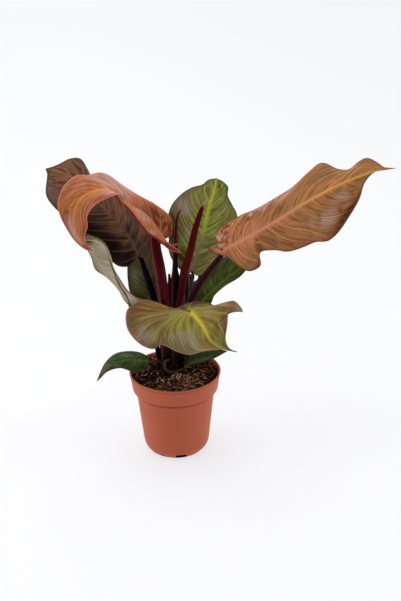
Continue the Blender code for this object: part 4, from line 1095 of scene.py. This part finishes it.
rolled = {
    "rolledTall": {
        "path": [(-1, -0.6, 117, 8.5), (0, -3, 144, 9), (5.5, -6, 181, 10), (9, -8, 214, 9.5),
                 (12.4, -8, 237, 9.6), (15.8, -8, 259, 11), (19.8, -8, 272, 10.4), (24.2, -8, 288, 9.6),
                 (29.3, -8, 311, 8.6), (34.6, -8, 329, 7), (38.6, -8, 341, 5), (41.2, -8, 347, 3),
                 (44, -8, 352, 1)],
        "seam": 0.1, "node": "rolled_leaf_tall", "paleTip": True,
    },
    "rolledThin": {
        "path": [(-8, 5.6, 117, 7.5), (-2, 4, 155, 9.5), (3, 3.4, 200, 13), (3.9, 2.6, 243, 12.4),
                 (3.6, 2, 255, 8), (5, 2, 291, 5.6), (5.2, 2, 297, 4.2), (6, 2, 311, 4), (8.5, 2, 329, 2.8),
                 (13, 2, 337, 1.2)],
        "seam": 0.1, "node": "rolled_leaf_thin", "collar": 0.785,
    },
    "oldSheath": {
        "path": [(-3.4, 9.6, 117, 4.2), (-4.5, 9.6, 153, 5.5), (-4, 9, 204, 7.5),
                 (-3.8, 8.6, 230, 7), (-4, 8.4, 239, 4.5), (-4.2, 8.4, 247, 3)],
        "seam": 0.2, "node": "old_sheath",
    },
    "witheredSheath": {  # a small dry one between the stalks, in the visual only
        "path": [(7, 14, 130, 5), (13, 14, 170, 6.5), (18.5, 15, 200, 10.5), (20.6, 16, 216, 12.6),
                 (21.6, 16, 228, 12.4), (21.4, 16, 237, 9.8), (21, 16, 243, 4.4)],
        "seam": 0.2, "node": None,
    },
}
for seed, (name, item) in enumerate(rolled.items()):
    addStem(name, item["path"], "new_leaf_crimson", item["node"], 20 + seed, seam=item["seam"],
            collar=item.get("collar"), paleTip=item.get("paleTip", False))
print("stage 5: rolled leaves")


soil = {
    "level": 108.2, "skirt": 3, "mound": 4.5, "radius": 57.2, "floor": 2.9,
    "rings": 70, "sectors": 220,
    "bed": [(0.3, (10, 5, 3)), (0.5, (30, 15, 8)), (0.62, (62, 34, 18)), (0.72, (30, 15, 8))],
    "crumbs": 3000, "crumbSize": (0.5, 1.9),
    "crumbTones": [(0.0, (7, 4, 3)), (0.4, (24, 11, 6)), (0.62, (62, 32, 17)), (0.84, (116, 68, 40)),
                   (0.97, (180, 128, 92))],
    "dust": (20, 9, 5),
    "fibres": 1000, "fibreLength": (4, 11), "fibreThick": (0.2, 0.42), "fibreLift": (0.4, 2.2),
    "fibreTones": [(0.0, (40, 22, 13)), (0.4, (122, 76, 46)), (0.7, (184, 132, 92)), (1.0, (255, 222, 196))],
    "clumps": [  # of fibres: x, y, spread, how many, how pale
        (4, -21, 5.5, 24, 1.0), (14, -28, 10, 70, 0.5), (20, -34, 18, 260, 0.1), (-14, -40, 14, 120, 0.05),
        (-22, 34, 12, 60, 0.2),
    ],
}


def soilHeight(x, y):
    radius, angle = math.hypot(x, y), math.atan2(y, x)
    share = radius / soil["radius"]
    lumps = (math.sin(3 * angle + 9 * share) * math.sin(7 * share + 1.3)
             + 0.7 * math.sin(5 * angle - 12 * share + 0.6)
             + 0.5 * math.sin(8 * angle + 17 * share))
    height = soil["level"] + soil["mound"] * (1 - share**2) + 0.9 * lumps * min(1.0, 3 * share)
    rough = noise.fractal(Vector((x, y, 3)) / 4.5, 1.0, 2.0, 4)
    pits = max(0.0, noise.noise(Vector((x, y, 11)) / 6) - 0.12)
    edge = ease(0.95, 1.0, share)
    return float((height + 1.5 * rough - 6 * pits) * (1 - edge) + (soil["level"] - soil["skirt"]) * edge)


def soilPaint():
    paint = Paint("soilBed", {"Specular IOR Level": 0.08})
    place = paint.place()
    grain = paint.noise(place, 420, 4, 0.65)
    lump = paint.noise(place, 90, 3)
    shade = paint.ramp(grain * 0.6 + lump * 0.4, soil["bed"])
    return paint.finish(Base_Color=shade, Roughness=0.85 + 0.1 * lump,
                        Normal=paint.bump(grain, 0.6, 0.001))


def addSoilBed():
    rings, sectors = soil["rings"], soil["sectors"]
    radii = [soil["radius"] * k / rings for k in range(1, rings + 1)]
    points, faces = [(0, 0, soilHeight(0, 0))], []
    for radius in radii:
        for k in range(sectors):
            x, y = (radius * f(2 * math.pi * k / sectors) for f in (math.cos, math.sin))
            points.append((x, y, soilHeight(x, y)))
    low = [(53.2, 97.5), (49.2, 94), (40.8, 11.5), (33, soil["floor"])]
    for radius, height in low:
        for k in range(sectors):
            angle = 2 * math.pi * k / sectors
            points.append((radius * math.cos(angle), radius * math.sin(angle), height))
    for k in range(sectors):
        faces.append((0, 1 + k, 1 + (k + 1) % sectors))
    for ring in range(rings - 1 + len(low)):
        for k in range(sectors):
            a, b = 1 + ring * sectors + k, 1 + ring * sectors + (k + 1) % sectors
            faces.append((a, a + sectors, b + sectors, b))
    faces.append(tuple(range(len(points) - sectors, len(points)))[::-1])
    return belongs(addMesh("soilBed", points, faces, soilPaint()), "potting_soil", "soil")


def addCrumbs():
    rng = random.Random(7)
    work = bmesh.new()
    bmesh.ops.create_icosphere(work, subdivisions=1, radius=1)
    shape = np.array([v.co for v in work.verts])
    solid = [tuple(v.index for v in f.verts) for f in work.faces]
    work.free()
    points, faces, shades = [], [], []
    smallest, growth = soil["crumbSize"]
    for _ in range(soil["crumbs"]):
        radius, angle = soil["radius"] * math.sqrt(rng.random()) * 0.975, rng.uniform(0, 2 * math.pi)
        x, y = radius * math.cos(angle), radius * math.sin(angle)
        size = smallest + growth * rng.random() ** 2.6
        stretch = np.array([rng.uniform(0.6, 1.9), rng.uniform(0.6, 1.2), rng.uniform(0.4, 0.9)]) * size
        spin = Vector((rng.random(), rng.random(), rng.random())) * math.pi
        turn = np.array(Euler(spin).to_matrix())
        jag = shape * (1 + 0.3 * np.array([[rng.uniform(-1, 1)] for _ in shape]))
        body = (jag * stretch) @ turn.T + np.array([x, y, soilHeight(x, y) + size * 0.3])
        start = len(points)
        points.extend(body)
        faces.extend(tuple(start + i for i in f) for f in solid)
        shades.extend([rng.random()] * len(shape))
    paint = Paint("crumbs", {"Specular IOR Level": 0.08})
    kind = paint.number("crumbShade")
    colour = paint.ramp(kind, soil["crumbTones"])
    grain = paint.noise(paint.place(), 1200, 3)
    paint.finish(Base_Color=paint.mix(grain * 0.5, colour, tone(*soil["dust"])), Roughness=0.9 - 0.1 * kind,
                 Normal=paint.bump(grain, 0.5, 0.0005))
    obj = addMesh("soilCrumbs", points, faces, paint.material, {"crumbShade": np.array(shades)})
    return belongs(obj, "potting_soil")


def addFibres():
    rng = random.Random(11)
    points, faces, shades = [], [], []
    places = []
    for x, y, spread, count, pale in soil["clumps"]:
        places += [(x + rng.gauss(0, spread / 2), y + rng.gauss(0, spread / 2), pale) for _ in range(count)]
    while len(places) < soil["fibres"]:
        radius, angle = soil["radius"] * math.sqrt(rng.random()) * 0.93, rng.uniform(0, 2 * math.pi)
        places.append((radius * math.cos(angle), radius * math.sin(angle), 0.0))
    for x, y, pale in places:
        heading, bend = rng.uniform(0, 2 * math.pi), rng.uniform(-0.45, 0.45)
        length, thick = rng.uniform(*soil["fibreLength"]), rng.uniform(*soil["fibreThick"])
        steps, start = 6, len(points)
        lift = rng.uniform(*soil["fibreLift"]) + 2 * pale
        if pale > 0.4:
            length, thick = length * 0.7, thick * 1.5
        px, py = x, y
        line = []
        for k in range(steps + 1):
            if math.hypot(px, py) > soil["radius"] - 1.8:
                px, py = x, y
            hump = math.sin(math.pi * k / steps) * lift
            line.append((px, py, soilHeight(px, py) + 0.6 + hump))
            px += math.cos(heading) * length / steps
            py += math.sin(heading) * length / steps
            heading += bend
        for k, spot in enumerate(line):
            slim = thick * (1 - 0.6 * abs(2 * k / steps - 1) ** 3)
            for side in range(4):
                angle = side * math.pi / 2
                points.append((spot[0] + slim * math.cos(angle) * math.sin(heading),
                               spot[1] - slim * math.cos(angle) * math.cos(heading),
                               spot[2] + slim * math.sin(angle)))
        for k in range(steps):
            for side in range(4):
                a, b = start + 4 * k + side, start + 4 * k + (side + 1) % 4
                faces.append((a, b, b + 4, a + 4))
        faces.append(tuple(start + i for i in (3, 2, 1, 0)))
        faces.append(tuple(start + 4 * steps + i for i in range(4)))
        shade = pale * (0.7 + 0.3 * rng.random()) + (1 - pale) * rng.random() ** 2
        shades.extend([shade] * (4 * (steps + 1)))
    paint = Paint("fibres", {"Specular IOR Level": 0.08})
    kind = paint.number("fibreShade")
    colour = paint.ramp(kind, soil["fibreTones"])
    paint.finish(Base_Color=colour, Roughness=0.8 - 0.1 * kind)
    obj = addMesh("soilFibres", points, faces, paint.material, {"fibreShade": np.array(shades)})
    return belongs(obj, "potting_soil")


def addCrown():  # x, y, z and breadth
    path = [(-5, 3, 100, 19), (-5, 3, 110, 20), (-5, 3, 116, 19), (-5, 3, 119, 13)]
    addStem("crown", path, "crown", "crown", 40, flatness=0.95)


addSoilBed()
addCrumbs()
addFibres()
addCrown()
print("stage 6: soil and crown")
